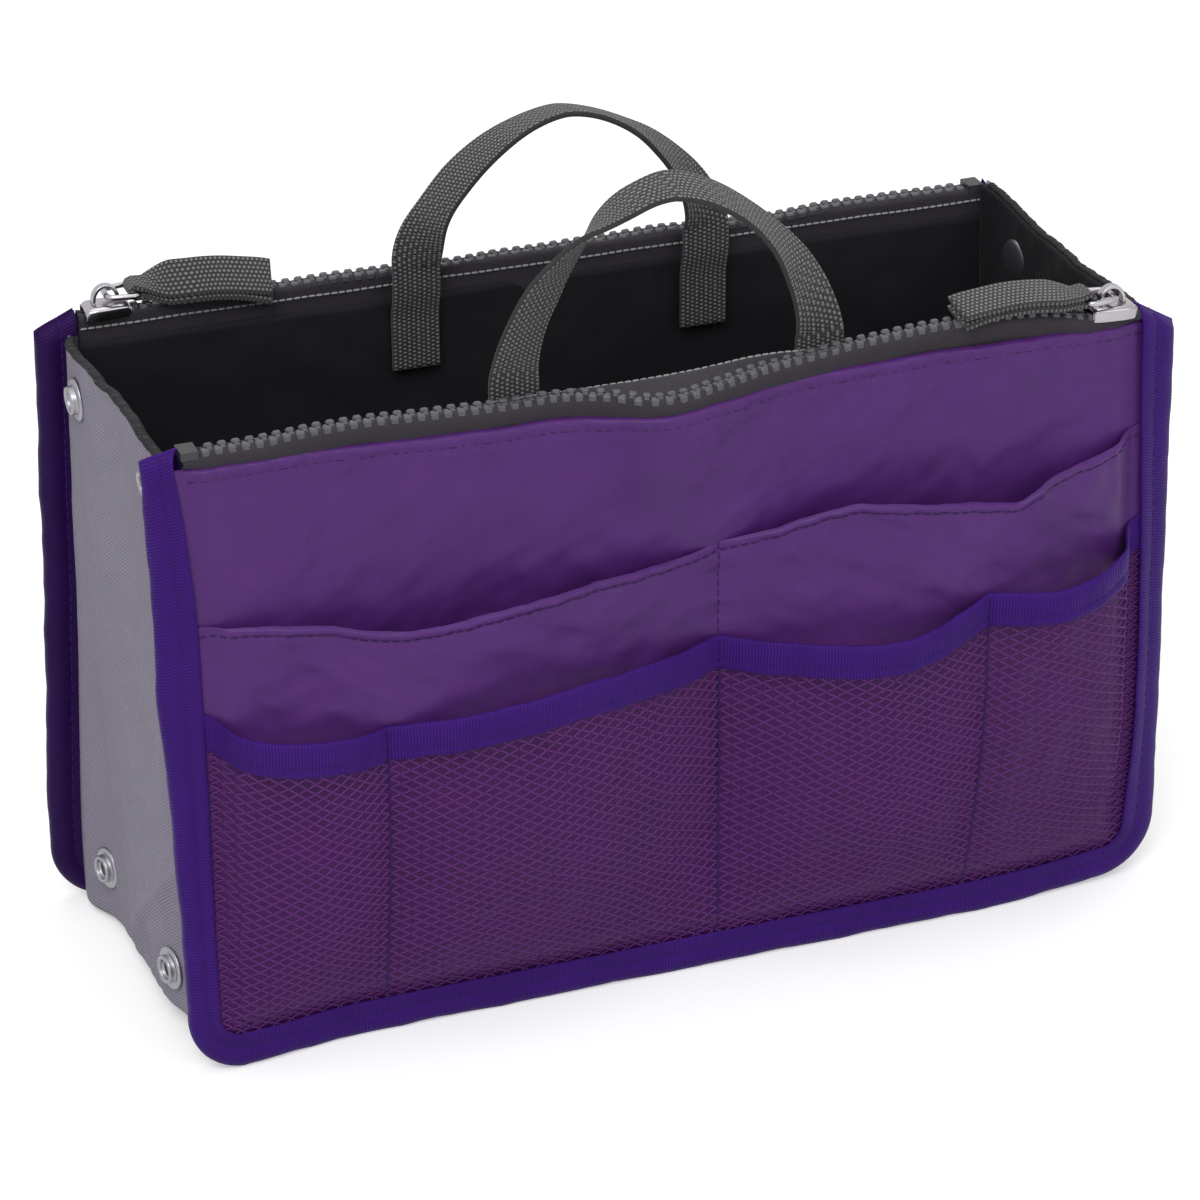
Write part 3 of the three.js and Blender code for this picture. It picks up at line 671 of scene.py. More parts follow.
def grosgrain(name, color):
    """Ribs across the tape, from a wave along it, broken up a little by noise."""
    finish = Finish(name, Sheen_Weight=0.02, Sheen_Roughness=0.45, Specular_IOR_Level=0.1)
    along, across = finish.on_cloth()
    slub = finish.noise(1.8, 2, 0.6)
    worn = finish.noise(14, 2, 0.6)
    rib = (along + slub * 0.3).wave(0.85)
    fine = across.wave(0.42)
    base = finish.mix(worn, shade(color, 0.66), shade(color, 1.34))
    ribbed = finish.mix(rib, shade(color, 0.62), base)
    gloss = 0.6 - rib * 0.1
    height = rib * 0.6 + fine * 0.1 + slub * 0.3
    return finish.show(ribbed, gloss, finish.relief(height, 0.16))


VIOLET = srgb(64, 25, 121)
grosgrain_finish = grosgrain("purple_grosgrain", VIOLET)
# Painted shade: the rear wall's binding gets a darker copy of the same grosgrain, for the shade on
# the side that faces away from the lamps.
shaded_rear_grosgrain_finish = grosgrain("painted_shade_grosgrain", srgb(44, 11, 78))
print("grosgrain: ribs every 0.85 mm")

# %% [markdown]
# ### Twill, lining and zip tape
#
# The gussets are grey twill, which has fine slanting lines. The inside is a black lining with a
# flat weave, and the zips' tapes are a dark herringbone. All three are the same idea: a slanting
# wave is a wave in the sum of the two cloth directions.

# %% Twill, lining and zip tape


def twill(name, color, pitch, slope, contrast, depth):
    """Slanting lines: a wave in along plus slope times across."""
    finish = Finish(name, Sheen_Weight=0.04, Sheen_Roughness=0.5, Specular_IOR_Level=0.16)
    along, across = finish.on_cloth()
    slub = finish.noise(1.1, 2, 0.7)
    worn = finish.noise(26, 3, 0.6)
    line = (along + across * slope + slub * 0.35).wave(pitch)
    yarn = (across - along * slope).wave(pitch * 0.55)
    weave = line * 0.75 + yarn * 0.25
    base = finish.mix(worn, shade(color, 1 - contrast * 0.6), shade(color, 1 + contrast * 0.6))
    woven = finish.mix(weave, shade(color, 1 - contrast), base)
    return finish.show(woven, 0.72 - weave * 0.08, finish.relief(weave, depth))


twill_finish = twill("grey_twill", srgb(156, 150, 168), 1.25, 1.2, 0.3, 0.2)
lining_finish = twill("black_lining", srgb(30, 27, 32), 0.8, 0.0, 0.3, 0.1)
tape_finish = twill("zip_tape", srgb(63, 59, 67), 0.8, 0.7, 0.36, 0.16)
print("twill lines every 1.25 mm, and 0.8 mm on the zip tapes")

# %% [markdown]
# ### Webbing
#
# The handles and pulls are coarse webbing. Pale floats of yarn lie in columns along it, and
# each column is shifted half a float from its neighbour, like bricks. The floats are rounded,
# so each is a smooth bump in a dark ground.

# %% Webbing


def webbing(name, dark, pale, columns, width, row):
    """Brickwork: the column number is across over the column's width, odd columns are shifted
    half a row, and each float is a product of two waves."""
    finish = Finish(name, Sheen_Weight=0.2, Sheen_Roughness=0.5, Specular_IOR_Level=0.3)
    along, across = finish.on_cloth()
    column = (across + width / 2) / (width / columns)
    odd = (column.whole() * 0.5).part() * 2
    fuzz = finish.noise(0.9, 2, 0.7)
    float_along = (along / row + odd * 0.5 + fuzz * 0.08).wave(1.0)
    float_across = (column - 0.25).wave(1.0)
    raised = (float_along * float_across).power(0.8)
    lit = raised.step(0.5, 0.4)
    worn = finish.noise(9, 2, 0.6)
    ground = finish.mix(worn, shade(dark, 0.8), shade(dark, 1.25))
    woven = finish.mix(lit, ground, pale)
    return finish.show(woven, 0.8 - lit * 0.15, finish.relief(raised + fuzz * 0.2, 0.55))


webbing_finish = webbing("grey_webbing", srgb(43, 43, 44), srgb(130, 129, 129), 10, 13.5, 1.3)
print("webbing: 10 columns of floats")

# %% [markdown]
# ### Net, plastic, metal and thread
#
# The net's strands are thin, pale purple cords. The zip's teeth are moulded plastic with a
# slightly rough skin. The slider is bright nickel and the snaps are duller steel, both with
# fine scratches, which show as small changes of roughness. Thread has a twist.

# %% Net, plastic, metal and thread


def plastic(name, color, gloss):
    """A slightly rough skin, with cloudy wear."""
    finish = Finish(name, Specular_IOR_Level=0.45)
    skin = finish.noise(0.7, 3, 0.6)
    worn = finish.noise(5, 2, 0.6)
    base = finish.mix(worn, shade(color, 0.8), shade(color, 1.25))
    return finish.show(base, gloss + skin * 0.15, finish.relief(skin, 0.06))


def metal(name, color, gloss):
    """Bright metal with fine scratches."""
    finish = Finish(name, Metallic=1.0)
    scratches = finish.noise(0.5, 4, 0.8)
    cloud = finish.noise(4, 2, 0.6)
    base = finish.mix(cloud, shade(color, 0.86), color)
    return finish.show(base, gloss + scratches * 0.14, finish.relief(scratches, 0.012))


def thread(name, color):
    """A yarn, darker and lighter along its twist."""
    finish = Finish(name, Sheen_Weight=0.05, Specular_IOR_Level=0.2)
    twist = finish.noise(0.4, 2, 0.6)
    base = finish.mix(twist, shade(color, 0.7), shade(color, 1.3))
    return finish.show(base, 0.6, finish.relief(twist, 0.05))


netting_finish = thread("purple_netting", srgb(98, 44, 118))
plastic_finish = plastic("zip_plastic", srgb(78, 76, 82), 0.36)
nickel_finish = metal("bright_nickel", srgb(176, 172, 178), 0.16)
steel_finish = metal("snap_steel", srgb(158, 156, 162), 0.34)
# Dark plastic: the zip's end stops really are this colour; in the snaps' sockets the same finish
# is painted shade.
dark_plastic_and_hollow_shade_finish = plastic("dark_plastic", srgb(48, 47, 50), 0.4)
purple_thread = thread("purple_thread", srgb(52, 26, 78))
violet_thread = thread("violet_thread", srgb(42, 18, 92))
pale_thread = thread("pale_thread", srgb(150, 148, 150))
black_thread = thread("black_thread", srgb(34, 32, 36))
print("net, plastic, metal and thread are ready")

# %% [markdown]
# ## Setting a piece down
#
# Every piece ends the same way: it gets its finish, rides on a body and, where it stands for CAD
# nodes, hides them. Cloth is declared with the size it was cut to, measured along its own surface.

# %% Setting a piece down


def place(piece, body, finish, slot, *stands_for):
    """Finish, body and the CAD nodes that this piece stands for. slot is not used."""
    piece.data.materials.clear()
    piece.data.materials.append(finish)
    if body:
        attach(piece, body)
    if stands_for:
        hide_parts(*stands_for)


STITCH_RINGS = [(-0.5, 0.35), (-0.3, 1), (0.3, 1), (0.5, 0.35)]


def stitches(name, path, normal, sizes, finish, body, slot):
    """Stitches along a path: at each pitch, a rounded bar lies along it, half sunk in. sizes
    are the pitch and a stitch's length and radius."""
    pitch, length, radius = sizes
    run = lengths(path[:, None], 0)[:, 0]
    at = np.arange(pitch / 2, run[-1], pitch)

    def places(values, shift=0.0):
        return np.stack([np.interp(at + shift, run, values[:, k]) for k in range(3)], -1)

    above = unit(places(normal))
    along = unit(places(path, 0.5) - places(path, -0.5))
    across = np.cross(above, along)
    loops = []
    for share, size in STITCH_RINGS:
        loop = ringed(radius * size, 6)
        loops.append(np.insert(loop, 0, share * length, axis=1))
    template, faces = layered(loops)
    made = copies(name, template, faces, places(path), along, across, above)
    place(made, body, finish, slot)


print("placing helpers are ready")

# %% [markdown]
# ## The walls' cloth
#
# A wall is an outer panel and a lining with the zip between them. The front zip doesn't run
# straight: between the handle's feet it bows outwards by about a finger's width and dips a
# little, because the slack outer cloth lets it. One function gives that bow, and the panel,
# the tapes and the chain all use it.

# %% The bow of the zip
BOW_FOOT = 118
PANEL_HEM = 3.5
UNDER_BINDING = 2.5
BOW_AT = [-38, -28, -22, -16, -10, -4, 2, 9, 16, 23, 30, 40]
BOW_OUT = [0, 0.6, 2.0, 5.0, 8.6, 9.6, 9.0, 7.2, 5.2, 2.7, 0.8, 0]
LIFT_AT, LIFT_BY = [30, 45, 62, 90, 104, 115], [0, 1.5, 3.0, 3.4, 2.6, 0]
HEM_AT = [-122, -105, -82, -50, -30, -18, -9, 5, 20, 40, 55, 74, 90, 102, 112, 125]
HEM_BY = [3.8, 3.4, 2.2, 2.4, 2.3, 2.3, 3.5, 3.8, 2.8, 2.8, 1.7, 1.3, 0.9, 1.2, 3.2, 4.0]


def bow(wall, x):
    """How far the zip stands out, and how far it dips: a hump between the handle's feet. On
    either side of them the front zip rises a little."""
    hump = curve(x, BOW_AT, BOW_OUT)
    if wall is FRONT:
        rise = 1.5 * np.exp(-(((x + 82) / 20) ** 2)) + curve(x, LIFT_AT, LIFT_BY)
        return hump + 0.4 * drift(x, 90, 3), 0.06 * hump - rise + 0.3 * drift(x, 70, 5)
    return 0.15 * hump + 0.6 * drift(x, 110, 8), 0.1 * hump + 0.5 * drift(x, 80, 2)


def ridge_rise(wall, x):
    """How much higher the front inner tape's ridge stands beside the handle's right foot."""
    return (1.6 if wall is FRONT else 0.0) * np.exp(-(((x - 27) / 18) ** 2))


def lower_edge(x, inset):
    """The height of the wall's outline at x, a distance in from its edge: a flat bottom with
    round corners, whose radius is the outline's less the inset."""
    radius = CORNER - inset
    beyond = np.clip(np.abs(x) - (HALF_LENGTH - CORNER), 0, radius)
    return CORNER - np.sqrt(radius**2 - beyond**2)


def hem_puff(below_top):
    """A folded, stitched hem: two soft lobes with the stitch line in the groove between."""
    below_line = below_top - PANEL_HEM
    upper = np.sin(np.pi * np.clip(below_top / PANEL_HEM, 0, 1)) * 0.55
    lower = np.sin(np.pi * np.clip(below_line / PANEL_HEM, 0, 1)) * 0.3
    rounding = -0.8 * (1 - smooth_between(below_top, 0, 1.1))
    groove = -0.3 * np.exp(-((below_line / 0.6) ** 2))
    return upper + lower + rounding + groove


def from_binding(x, z, overlap=0):
    """The distance in from the wall's bound edges, which may lap further over its sides."""
    return np.minimum(HALF_SPAN - overlap - np.abs(x), z - lower_edge(x, FLANGE))


def wall_grid(columns, shares):
    """Places over a wall's cloth: x along it, and z from under the binding up to its top."""
    x = np.linspace(-(HALF_SPAN + UNDER_BINDING), HALF_SPAN + UNDER_BINDING, columns)[None, :]
    foot = lower_edge(x, FLANGE - UNDER_BINDING)
    return x, foot + (PANEL_TOP - foot) * shares[:, None]


def panel_surface(wall, x, z):
    """The outer panel's distance out from the CAD face: the zip's bow fading down the wall, the
    hem, puckers at its stitches, and soft folds that die out where it is bound."""
    out, dip = bow(wall, x)
    fades = smooth_between(z, BOW_FOOT, PANEL_TOP)
    tuck = tucked(x, z)
    free = smooth_between(from_binding(x, z), 0, 22)
    below_top = PANEL_TOP - z
    by_hem = np.exp(-((np.abs(below_top - PANEL_HEM) / 5) ** 1.5))
    pucker = 0.3 * drift(x, 7.5, 4) * by_hem
    wrinkles = (0.9 * folds(x, z, 62, 2 + wall.out) + 0.5 * folds(x - z, z, 38, 5)) * free
    level = hem_puff(below_top) * (1 - 0.6 * tuck) + pucker + wrinkles - 1.4 * tuck
    raised = curve(x, HEM_AT, HEM_BY) if wall is FRONT else 0.0
    return out * fades + level, (dip - raised) * fades


def wall_panel(wall):
    """The outer panel, with its rows closer together towards the hem."""
    x, z = wall_grid(230, np.linspace(0, 1, 96) ** 0.75)
    out, dip = panel_surface(wall, x, z)
    points = on_wall(wall, x, out, z - dip)
    made = cloth(f"{wall.name}_outer_cloth", points, flip=wall.out > 0)
    thicken(made, WALL_CLOTH)
    place(made, wall.body, nylon_finish, "purple_nylon", f"{wall.name}_outer_panel")


for wall in WALLS:
    wall_panel(wall)

# %% [markdown]
# The lining hangs straight inside the wall, from the zip's inner tape down to the seam. Its
# top edge is the selvedge that the inner tape is sewn along.

# %% The lining


def lining_cloth(wall):
    """The lining's inner face: flat, with shallow folds that fade at its edges."""
    x, z = wall_grid(120, np.linspace(0, 1, 70))
    free = smooth_between(from_binding(x, z), 0, 25)
    inward = wall.thickness + 0.9 * folds(x, z, 75, 7 + wall.out) * free - 0.5 * free
    points = on_wall(wall, x, 0.6 * tucked(x, z) - inward, z)
    made = cloth(f"{wall.name}_lining_cloth", points, flip=wall.out < 0)
    thicken(made, WALL_CLOTH)
    place(made, wall.body, lining_finish, "black_lining", f"{wall.name}_lining_panel")


for wall in WALLS:
    lining_cloth(wall)

# %% [markdown]
# ## The binding
#
# Grosgrain tape is folded over the wall's raw edges and sewn down with one line of stitches.
# The edge inside is springy, so the tape puffs up on both sides of that line: a wide lobe
# towards the edge and a narrow one towards the cloth. The section is drawn once, as a half
# thickness at each distance in from the edge, and carried round three sides of the wall.

# %% The binding
SECTION_DEPTH = np.array([11, 10.5, 9.6, 8.3, 7.3, 6.6, 5.9, 4.8, 3.5, 2.2, 1.1, 0.4, 0.08, 0])
SECTION_HALF = np.array([2.95, 3.2, 3.3, 3.2, 2.95, 2.8, 2.95, 3.25, 3.3, 3.05, 2.45, 1.7, 0.9, 0])
TOP_SLANTS = {"front": (4.5, 8.5), "rear": (4.5, 16.0)}
LEANS = {
    ("front", "left"): ([0, 60, 90, 115, 140, 178], [0, 0, 2.5, 12, 23, 33]),
    ("front", "right"): ([0, 17, 40, 100, 150, 178], [8, 18, 27, 30, 22, 18]),
    ("rear", "left"): ([0, 60, 178], [0, 2, 5]),
    ("rear", "right"): ([0, 60, 178], [0, 4, 10]),
}


SIDE_ROWS, ARC_ROWS, BOTTOM_ROWS = 60, 14, 110
STITCH_COLUMN = 5
BINDING_STITCH = (3.1, 2.2, 0.24)


def edge_path(inset, left_top, right_top):
    """Points on the wall's outline at a distance in, down the left side, round the corner,
    along the bottom and up the right side. Each inset gets its own column."""
    radius = CORNER - inset
    down = np.linspace(0, 1, SIDE_ROWS)[:, None]
    turn = np.linspace(0, np.pi / 2, ARC_ROWS)[:, None]
    run = np.linspace(-1, 1, BOTTOM_ROWS)[:, None]
    straight = HALF_LENGTH - CORNER
    side_x = HALF_LENGTH - inset + 0 * down
    left_z = left_top + (CORNER - left_top) * down
    right_z = right_top + (CORNER - right_top) * down
    arc_x = straight + radius * np.cos(turn)
    arc_z = CORNER - radius * np.sin(turn)
    flat_x = straight * run + 0 * inset
    flat_z = inset + 0 * run
    x = np.concatenate([-side_x, -arc_x[1:], flat_x[1:], arc_x[::-1][1:], side_x[1:]])
    z = np.concatenate([left_z, arc_z[1:], flat_z[1:], arc_z[::-1][1:], right_z[::-1][1:]])
    return x, z


def lean(wall, x, z):
    """How far the flange turns inwards, in radians, at a height on either side."""
    left = curve(z, *LEANS[wall.name, "left"])
    right = curve(z, *LEANS[wall.name, "right"])
    return np.radians(np.where(x < 0, left, right))


def widen(wall, x, z):
    """How much wider the flange lies than it was cut: the front left one narrows downwards."""
    if wall is REAR:
        return 0 * z
    left = curve(z, [0, 16, 35, 64, 90, 115, 140, 178], [-2.2, -3, -2.7, -1.9, -0.6, 0.6, 0.5, -1])
    return np.where(x < 0, left, 0)


def lap(wall, x):
    """How far the tape's inner edge lies over the wall: only the front right one does."""
    return np.where((x > 0) & (wall is FRONT), RIGHT_OVERLAP, 0)


def binding_tape(wall):
    """The folded tape's section, carried round the edge, and its two lines of stitches."""
    depth = np.concatenate([SECTION_DEPTH, SECTION_DEPTH[-2::-1]])
    half = np.concatenate([SECTION_HALF, -SECTION_HALF[-2::-1]])
    reach = (FLANGE - depth)[None, :]
    tops = [BINDING_TOP + 0.6 - slant / FLANGE * reach for slant in TOP_SLANTS[wall.name]]
    x, z = edge_path(depth[None, :], *tops)
    rows = len(x)
    steps = np.hypot(np.diff(x[:, 0]), np.diff(z[:, 0]))
    run = np.concatenate([[0], np.cumsum(steps)])[:, None]
    edge = len(SECTION_DEPTH) - 1
    outward = np.stack([x[:, edge] - x[:, 0], z[:, edge] - z[:, 0]], -1)
    outward[:SIDE_ROWS, 1] = 0
    outward[1 - SIDE_ROWS :, 1] = 0
    outward = unit(outward)
    sideways = np.abs(outward[:, :1])
    wander = 0.28 * drift(run, 46, wall.out) + 0.08 * drift(run, 13, 5)
    grow = (wander + widen(wall, x, z) * sideways) * reach / FLANGE
    grow = grow - lap(wall, x) * sideways * (1 - reach / FLANGE)
    end = np.minimum(run, run[-1] - run)
    pinch = 1 - 0.75 * (1 - smooth_between(end, 0, 4.5)) ** 2
    plump = 1 + 0.03 * drift(run, 31, 2 + wall.out) + 0.012 * drift(run, 9, 6)
    height = half[None, :] * pinch * plump
    angle = lean(wall, x, z) * sideways
    shift = grow + height * np.sin(angle) - (reach + grow) * (1 - np.cos(angle))
    y = wall.middle + wall.out * (height * np.cos(angle) - (reach + grow) * np.sin(angle))
    points = np.stack([x + outward[:, :1] * shift, y, z + outward[:, 1:] * shift], -1)
    points = settle(wall, points)
    made = cloth(f"{wall.name}_bound_edge", points.transpose(1, 0, 2), flip=wall.out < 0)
    thicken(made, THIN_CLOTH)
    # The rear binding's darker grosgrain is painted shade, not a different tape.
    finish = grosgrain_finish if wall is FRONT else shaded_rear_grosgrain_finish
    place(made, wall.body, finish, "purple_grosgrain", f"{wall.name}_binding")
    for label, facing in (("outer", 1), ("inner", -1)):
        column = STITCH_COLUMN if facing > 0 else len(depth) - 1 - STITCH_COLUMN
        name, slot = f"{wall.name}_{label}_binding_stitches", "purple_grosgrain"
        normal = everywhere([0, wall.out * facing, 0], rows)
        path = points[:, column] + normal * 0.02
        stitches(name, path, normal, BINDING_STITCH, violet_thread, wall.body, slot)
    print(f"{wall.name} binding: {rows} sections, {run[-1, 0]:.0f} mm long")


for wall in WALLS:
    binding_tape(wall)

# %% [markdown]
# ## The zips
#
# A moulded zip is two tapes, each with a row of teeth along its edge. A tooth has a broad foot
# that grips the tape and a narrow head that locks between two heads of the other row. The
# tooth is one small chamfered solid, set down along the bowed chain 72 times a row.

# %% The zips
TOOTH_PITCH = 3.5
CHAIN_REACH = 125


def chain_line(wall, x):
    """The middle of the chain's top."""
    out, dip = bow(wall, x)
    return np.stack([x, wall.middle + wall.out * out, CHAIN_TOP - dip], -1)


def tooth():
    """A foot with a narrow head: two chamfered blocks, as (along, across, up)."""
    foot_loops = [
        plain_loop(1.1, 0.85, 0.3, -1.8),
        plain_loop(1.1, 0.85, 0.3, -0.6),
        plain_loop(0.85, 0.6, 0.3, -0.2),
    ]
    head_loops = [
        plain_loop(0.75, 0.85, 0.2, -1.7),
        plain_loop(0.75, 0.85, 0.2, -0.9),
        plain_loop(0.5, 0.7, 0.15, -0.6),
    ]
    foot, foot_faces = layered([loop + [0, 1.7, 0] for loop in foot_loops])
    head, head_faces = layered([loop + [0, 0.15, 0] for loop in head_loops])
    shifted = [[number + len(foot) for number in face] for face in head_faces]
    return np.concatenate([foot, head]), foot_faces + shifted


def tooth_row(wall, label, side, phase):
    """One tape's teeth, half a pitch from the other tape's, along the chain."""
    template, faces = tooth()
    count = int(2 * CHAIN_REACH / TOOTH_PITCH)
    x = (np.arange(count) - (count - 1) / 2 + phase) * TOOTH_PITCH
    centres = chain_line(wall, x)
    along = unit(chain_line(wall, x + 0.5) - chain_line(wall, x - 0.5))
    above = everywhere(UP, count)
    across = np.cross(above, along) * side
    name = f"{wall.name}_{label}_teeth"
    if side < 0:
        faces = [face[::-1] for face in faces]
    made = copies(name, template, faces, centres, along, across, above)
    made.data.polygons.foreach_set("use_smooth", np.zeros(len(made.data.polygons), bool))
    place(made, wall.body, plastic_finish, "zip_plastic", f"{wall.name}_zip_{label}_tape")
    return made


TAPE_PROFILES = {
    "outer": [
        (157, 1.6, 0), (166, 1.5, 0.8), (171.5, 1.25, 1), (173.8, 0.7, 1), (175.2, 0.35, 1),
        (176.1, 0.4, 1), (176.9, 0.75, 1), (177.3, 1.3, 1), (177.2, 2.4, 1),
    ],
    "inner": [
        (157, 4.2, 0), (166, 4.3, 0), (171.5, 4.6, 0), (174.5, 5.1, 0), (176.3, 5.3, 0),
        (177, 5.15, 0.03), (177.3, 4.75, 0.15), (177.3, 4.4, 0.4), (177.2, 4.1, 0.7),
        (177.1, 3.8, 1), (177.1, 3.2, 1),
    ],
}
TAPE_SEWN_TO, RIDGE_FROM = 175, 174


def tape_points(wall, label):
    """A tape's section: up the wall behind the panel or before the lining, then over to the
    chain, whose bow its upper edge follows. The inner tape has a ridge where it turns over. A
    profile's numbers are a height, a distance inwards and how far the bow is followed."""
    x = np.linspace(-(HALF_SPAN - 1), HALF_SPAN - 1, 220)
    out, dip = bow(wall, x)
    rows = []
    for height, inward, follows in TAPE_PROFILES[label]:
        y = wall.y(inward) + wall.out * out * follows
        z = height - dip * follows + 0.15 * drift(x, 9, height)
        if label == "outer" and height < TAPE_SEWN_TO:
            y = y - wall.out * 1.6 * tucked(x, height)
        if label == "inner" and height > RIDGE_FROM:
            z = z + (1 - follows) * ridge_rise(wall, x)
        rows.append(np.stack([x, y, z], -1))
    return np.array(rows)


for wall in WALLS:
    for label, facing, phase in (("outer", wall.out, 0.0), ("inner", -wall.out, 0.5)):
        row = tooth_row(wall, label, facing, phase - 0.25)
        tape = cloth(
            f"{wall.name}_{label}_zip_tape",
            settle(wall, tape_points(wall, label)),
            flip=(wall.out > 0) == (label == "outer"),
        )
        thicken(tape, 0.6, 0)
        node = f"{wall.name}_zip_{label}_tape"
        place(tape, wall.body, tape_finish, "zip_tape", node)

# %% [markdown]
# ## Sliders and rings
#
# The slider hooks under both edges of the chain and carries a bridge, an arch of flat metal
# that the pull's ring runs through. It is widest at its shoulders and narrows to the tail. The
# ring is round wire bent to a D, narrow where it runs in the bridge.

# %% Sliders
SLIDER_HALF = 6.2
PULL_AXIS = CHAIN_TOP + 3.65
RING_BAR = 8.2


def soften(piece, width):
    """Rounds a piece's sharp edges."""
    bevel = piece.modifiers.new("soft edges", "BEVEL")
    bevel.width = width * MM
    bevel.segments = 3
    bevel.limit_method = "ANGLE"


def slider_body(wall, x, towards):
    """The slider's C-shaped section at stations along it, with the outer faces drawn in
    towards the tail. A point is its width, its height, and how far it follows flare and crown."""
    shares = np.array([-1, -0.85, -0.4, 0.3, 0.8, 1])
    flare = np.array([-1.3, -0.7, -0.25, 0.1, 0.0, -0.7])
    crown = np.array([-0.7, -0.2, 0, 0, -0.2, -0.7])
    top, bottom = CHAIN_TOP + 1.35, CHAIN_TOP - 2.6
    ceiling, floor = top - 1.1, bottom + 0.9
    half = [(2.2, bottom, 0, 0), (4.1, bottom, 1, 0), (4.2, top - 0.7, 1, 1), (3.3, top, 1, 1)]
    inside = [(3.2, ceiling, 0, 0), (3.2, floor, 0, 0), (2.2, floor, 0, 0)]
    mirrored = [(-b, h, -f, c) for b, h, f, c in (inside + half)[::-1]]
    section = np.array(half + mirrored + inside)
    count = len(shares)
    x = x - towards * shares * SLIDER_HALF
    path = np.stack([x, np.full(count, wall.middle), np.zeros(count)], -1)
    widths = section[None, :, 0] + section[None, :, 2] * flare[:, None]
    heights = section[None, :, 1] + section[None, :, 3] * crown[:, None]
    profile = np.stack([widths, heights], -1)
    name = f"{wall.name}_slider_body"
    made = sweep(name, path, everywhere(TO_REAR, count), everywhere(UP, count), profile)
    soften(made, 0.35)
    return made


def slider_bridge(wall, x):
    """An arch of flat metal: half an ellipse from the slider's heel to its toe."""
    turn = np.linspace(0, np.pi, 25)
    z = CHAIN_TOP + 1.1 + 4.9 * np.sin(turn) ** 0.8
    path = np.stack([x + 3.4 * np.cos(turn), np.full(25, wall.middle), z], -1)
    wide = everywhere(TO_REAR, 25)
    thin = np.cross(wide, along_path(path))
    section = varied(rounded(2.9, 1.0, 0.3), 1 - 0.22 * np.sin(turn), 1.0)
    return sweep(f"{wall.name}_slider_bridge", path, wide, thin, section)


def bent_wire(corners, radius, per_corner=8):
    """A closed path with round corners: each corner is a quadratic curve that starts and ends
    a radius away from it."""
    corners = np.asarray(corners, float)
    before, after = np.roll(corners, 1, axis=0), np.roll(corners, -1, axis=0)
    enter = corners + unit(before - corners) * radius
    leave = corners + unit(after - corners) * radius
    share = np.linspace(0, 1, per_corner)[None, :, None]
    first = enter[:, None] * (1 - share) ** 2
    second = 2 * corners[:, None] * share * (1 - share)
    third = leave[:, None] * share**2
    return (first + second + third).reshape(-1, 3)


def pull_ring(wall, x, towards):
    """A D of round wire: narrow in the bridge, wide where it holds the pull."""
    at = [(0, -3.4), (RING_BAR, -4.9), (RING_BAR, 4.9), (0, 3.4)]
    path = bent_wire([(x + towards * a, wall.middle + b, PULL_AXIS) for a, b in at], 2.2)
    wide = everywhere(UP, len(path))
    thin = np.cross(along_path(path, True), wide)
    return sweep(f"{wall.name}_pull_ring", path, wide, thin, ringed(0.8, 12), closed=True)


for wall in WALLS:
    x = np.mean(corners(f"{wall.name}_zip_slider"), axis=0)[0]
    for part in (slider_body(wall, x, wall.out), slider_bridge(wall, x)):
        node = f"{wall.name}_zip_slider"
        place(part, f"{wall.name}_slider", nickel_finish, "bright_nickel", node)
    ring = pull_ring(wall, x, wall.out)
    place(ring, f"{wall.name}_pull", nickel_finish, "bright_nickel", f"{wall.name}_zip_pull_ring")
    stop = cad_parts[f"{wall.name}_zip_end_stop"]
    stop.data.materials.clear()
    stop.data.materials.append(dark_plastic_and_hollow_shade_finish)
    soften(stop, 0.5)
    print(f"{wall.name} slider rests at x {x:.1f}")

# %% [markdown]
# ## Pulls and handles
#
# Both are the same webbing. A pull is one strip folded round the ring's bar, so its free end
# shows two plies, and it springs up in a low arch. A handle is a strip whose two ends are sewn
# flat inside the wall: over the top it turns on edge, so that it lies flat in the hand.

# %% Pulls
PULL_LENGTH, PULL_GAP = 36.5, 0.95
PULL_TILTS = {"front": math.radians(11), "rear": math.radians(38)}
PULL_SHIFTS = {"front": 0.6, "rear": 3.0}
PULL_ENDS = {"front": 1.4, "rear": -2.0}


def pull_path(x, towards, wall):
    """From the lower ply's free end along to the bar, round it, and back along the upper ply.
    Both plies lie on a low arch over the zip, a shift in front of its middle."""
    away = np.linspace(1, 0.06, 26)
    arch = 2.6 * np.abs(np.sin(np.pi * away)) ** 0.9 + PULL_ENDS[wall.name] * away
    opening = PULL_GAP + 0.35 * smooth_between(away, 0.75, 1.0)
    turn = np.linspace(-np.pi / 2, -3 * np.pi / 2, 9)[1:-1]
    lower = np.stack([RING_BAR + away * PULL_LENGTH, arch - opening], -1)
    upper = np.stack([lower[:, 0], arch + opening], -1)[::-1]
    wrap = lower[-1] + [-2.2, PULL_GAP] + np.stack([1.7 * np.cos(turn), 1.6 * np.sin(turn)], -1)
    along, rise = np.concatenate([lower, wrap, upper]).T
    shift = PULL_SHIFTS[wall.name] * smooth_between(along, RING_BAR, RING_BAR + 16)
    return np.stack([x + towards * along, wall.middle - shift, PULL_AXIS + rise], -1)


def pull_strap(wall, x, towards):
    """Two plies whose free part leans to the front by its tilt."""
    path = pull_path(x, towards, wall)
    near = smooth_between(np.abs(path[:, 0] - x), 8, 18)
    tilt = PULL_TILTS[wall.name] * near
    wide = np.stack([0 * tilt, np.cos(tilt), np.sin(tilt)], -1)
    thin = unit(np.cross(along_path(path), wide))
    wide = unit(np.cross(thin, along_path(path)))
    section = varied(rounded(11.5, 1.5, 0.55, 4), 0.68 + 0.32 * near, 1.0)
    return sweep(f"{wall.name}_pull_tab", path, wide, thin, section)


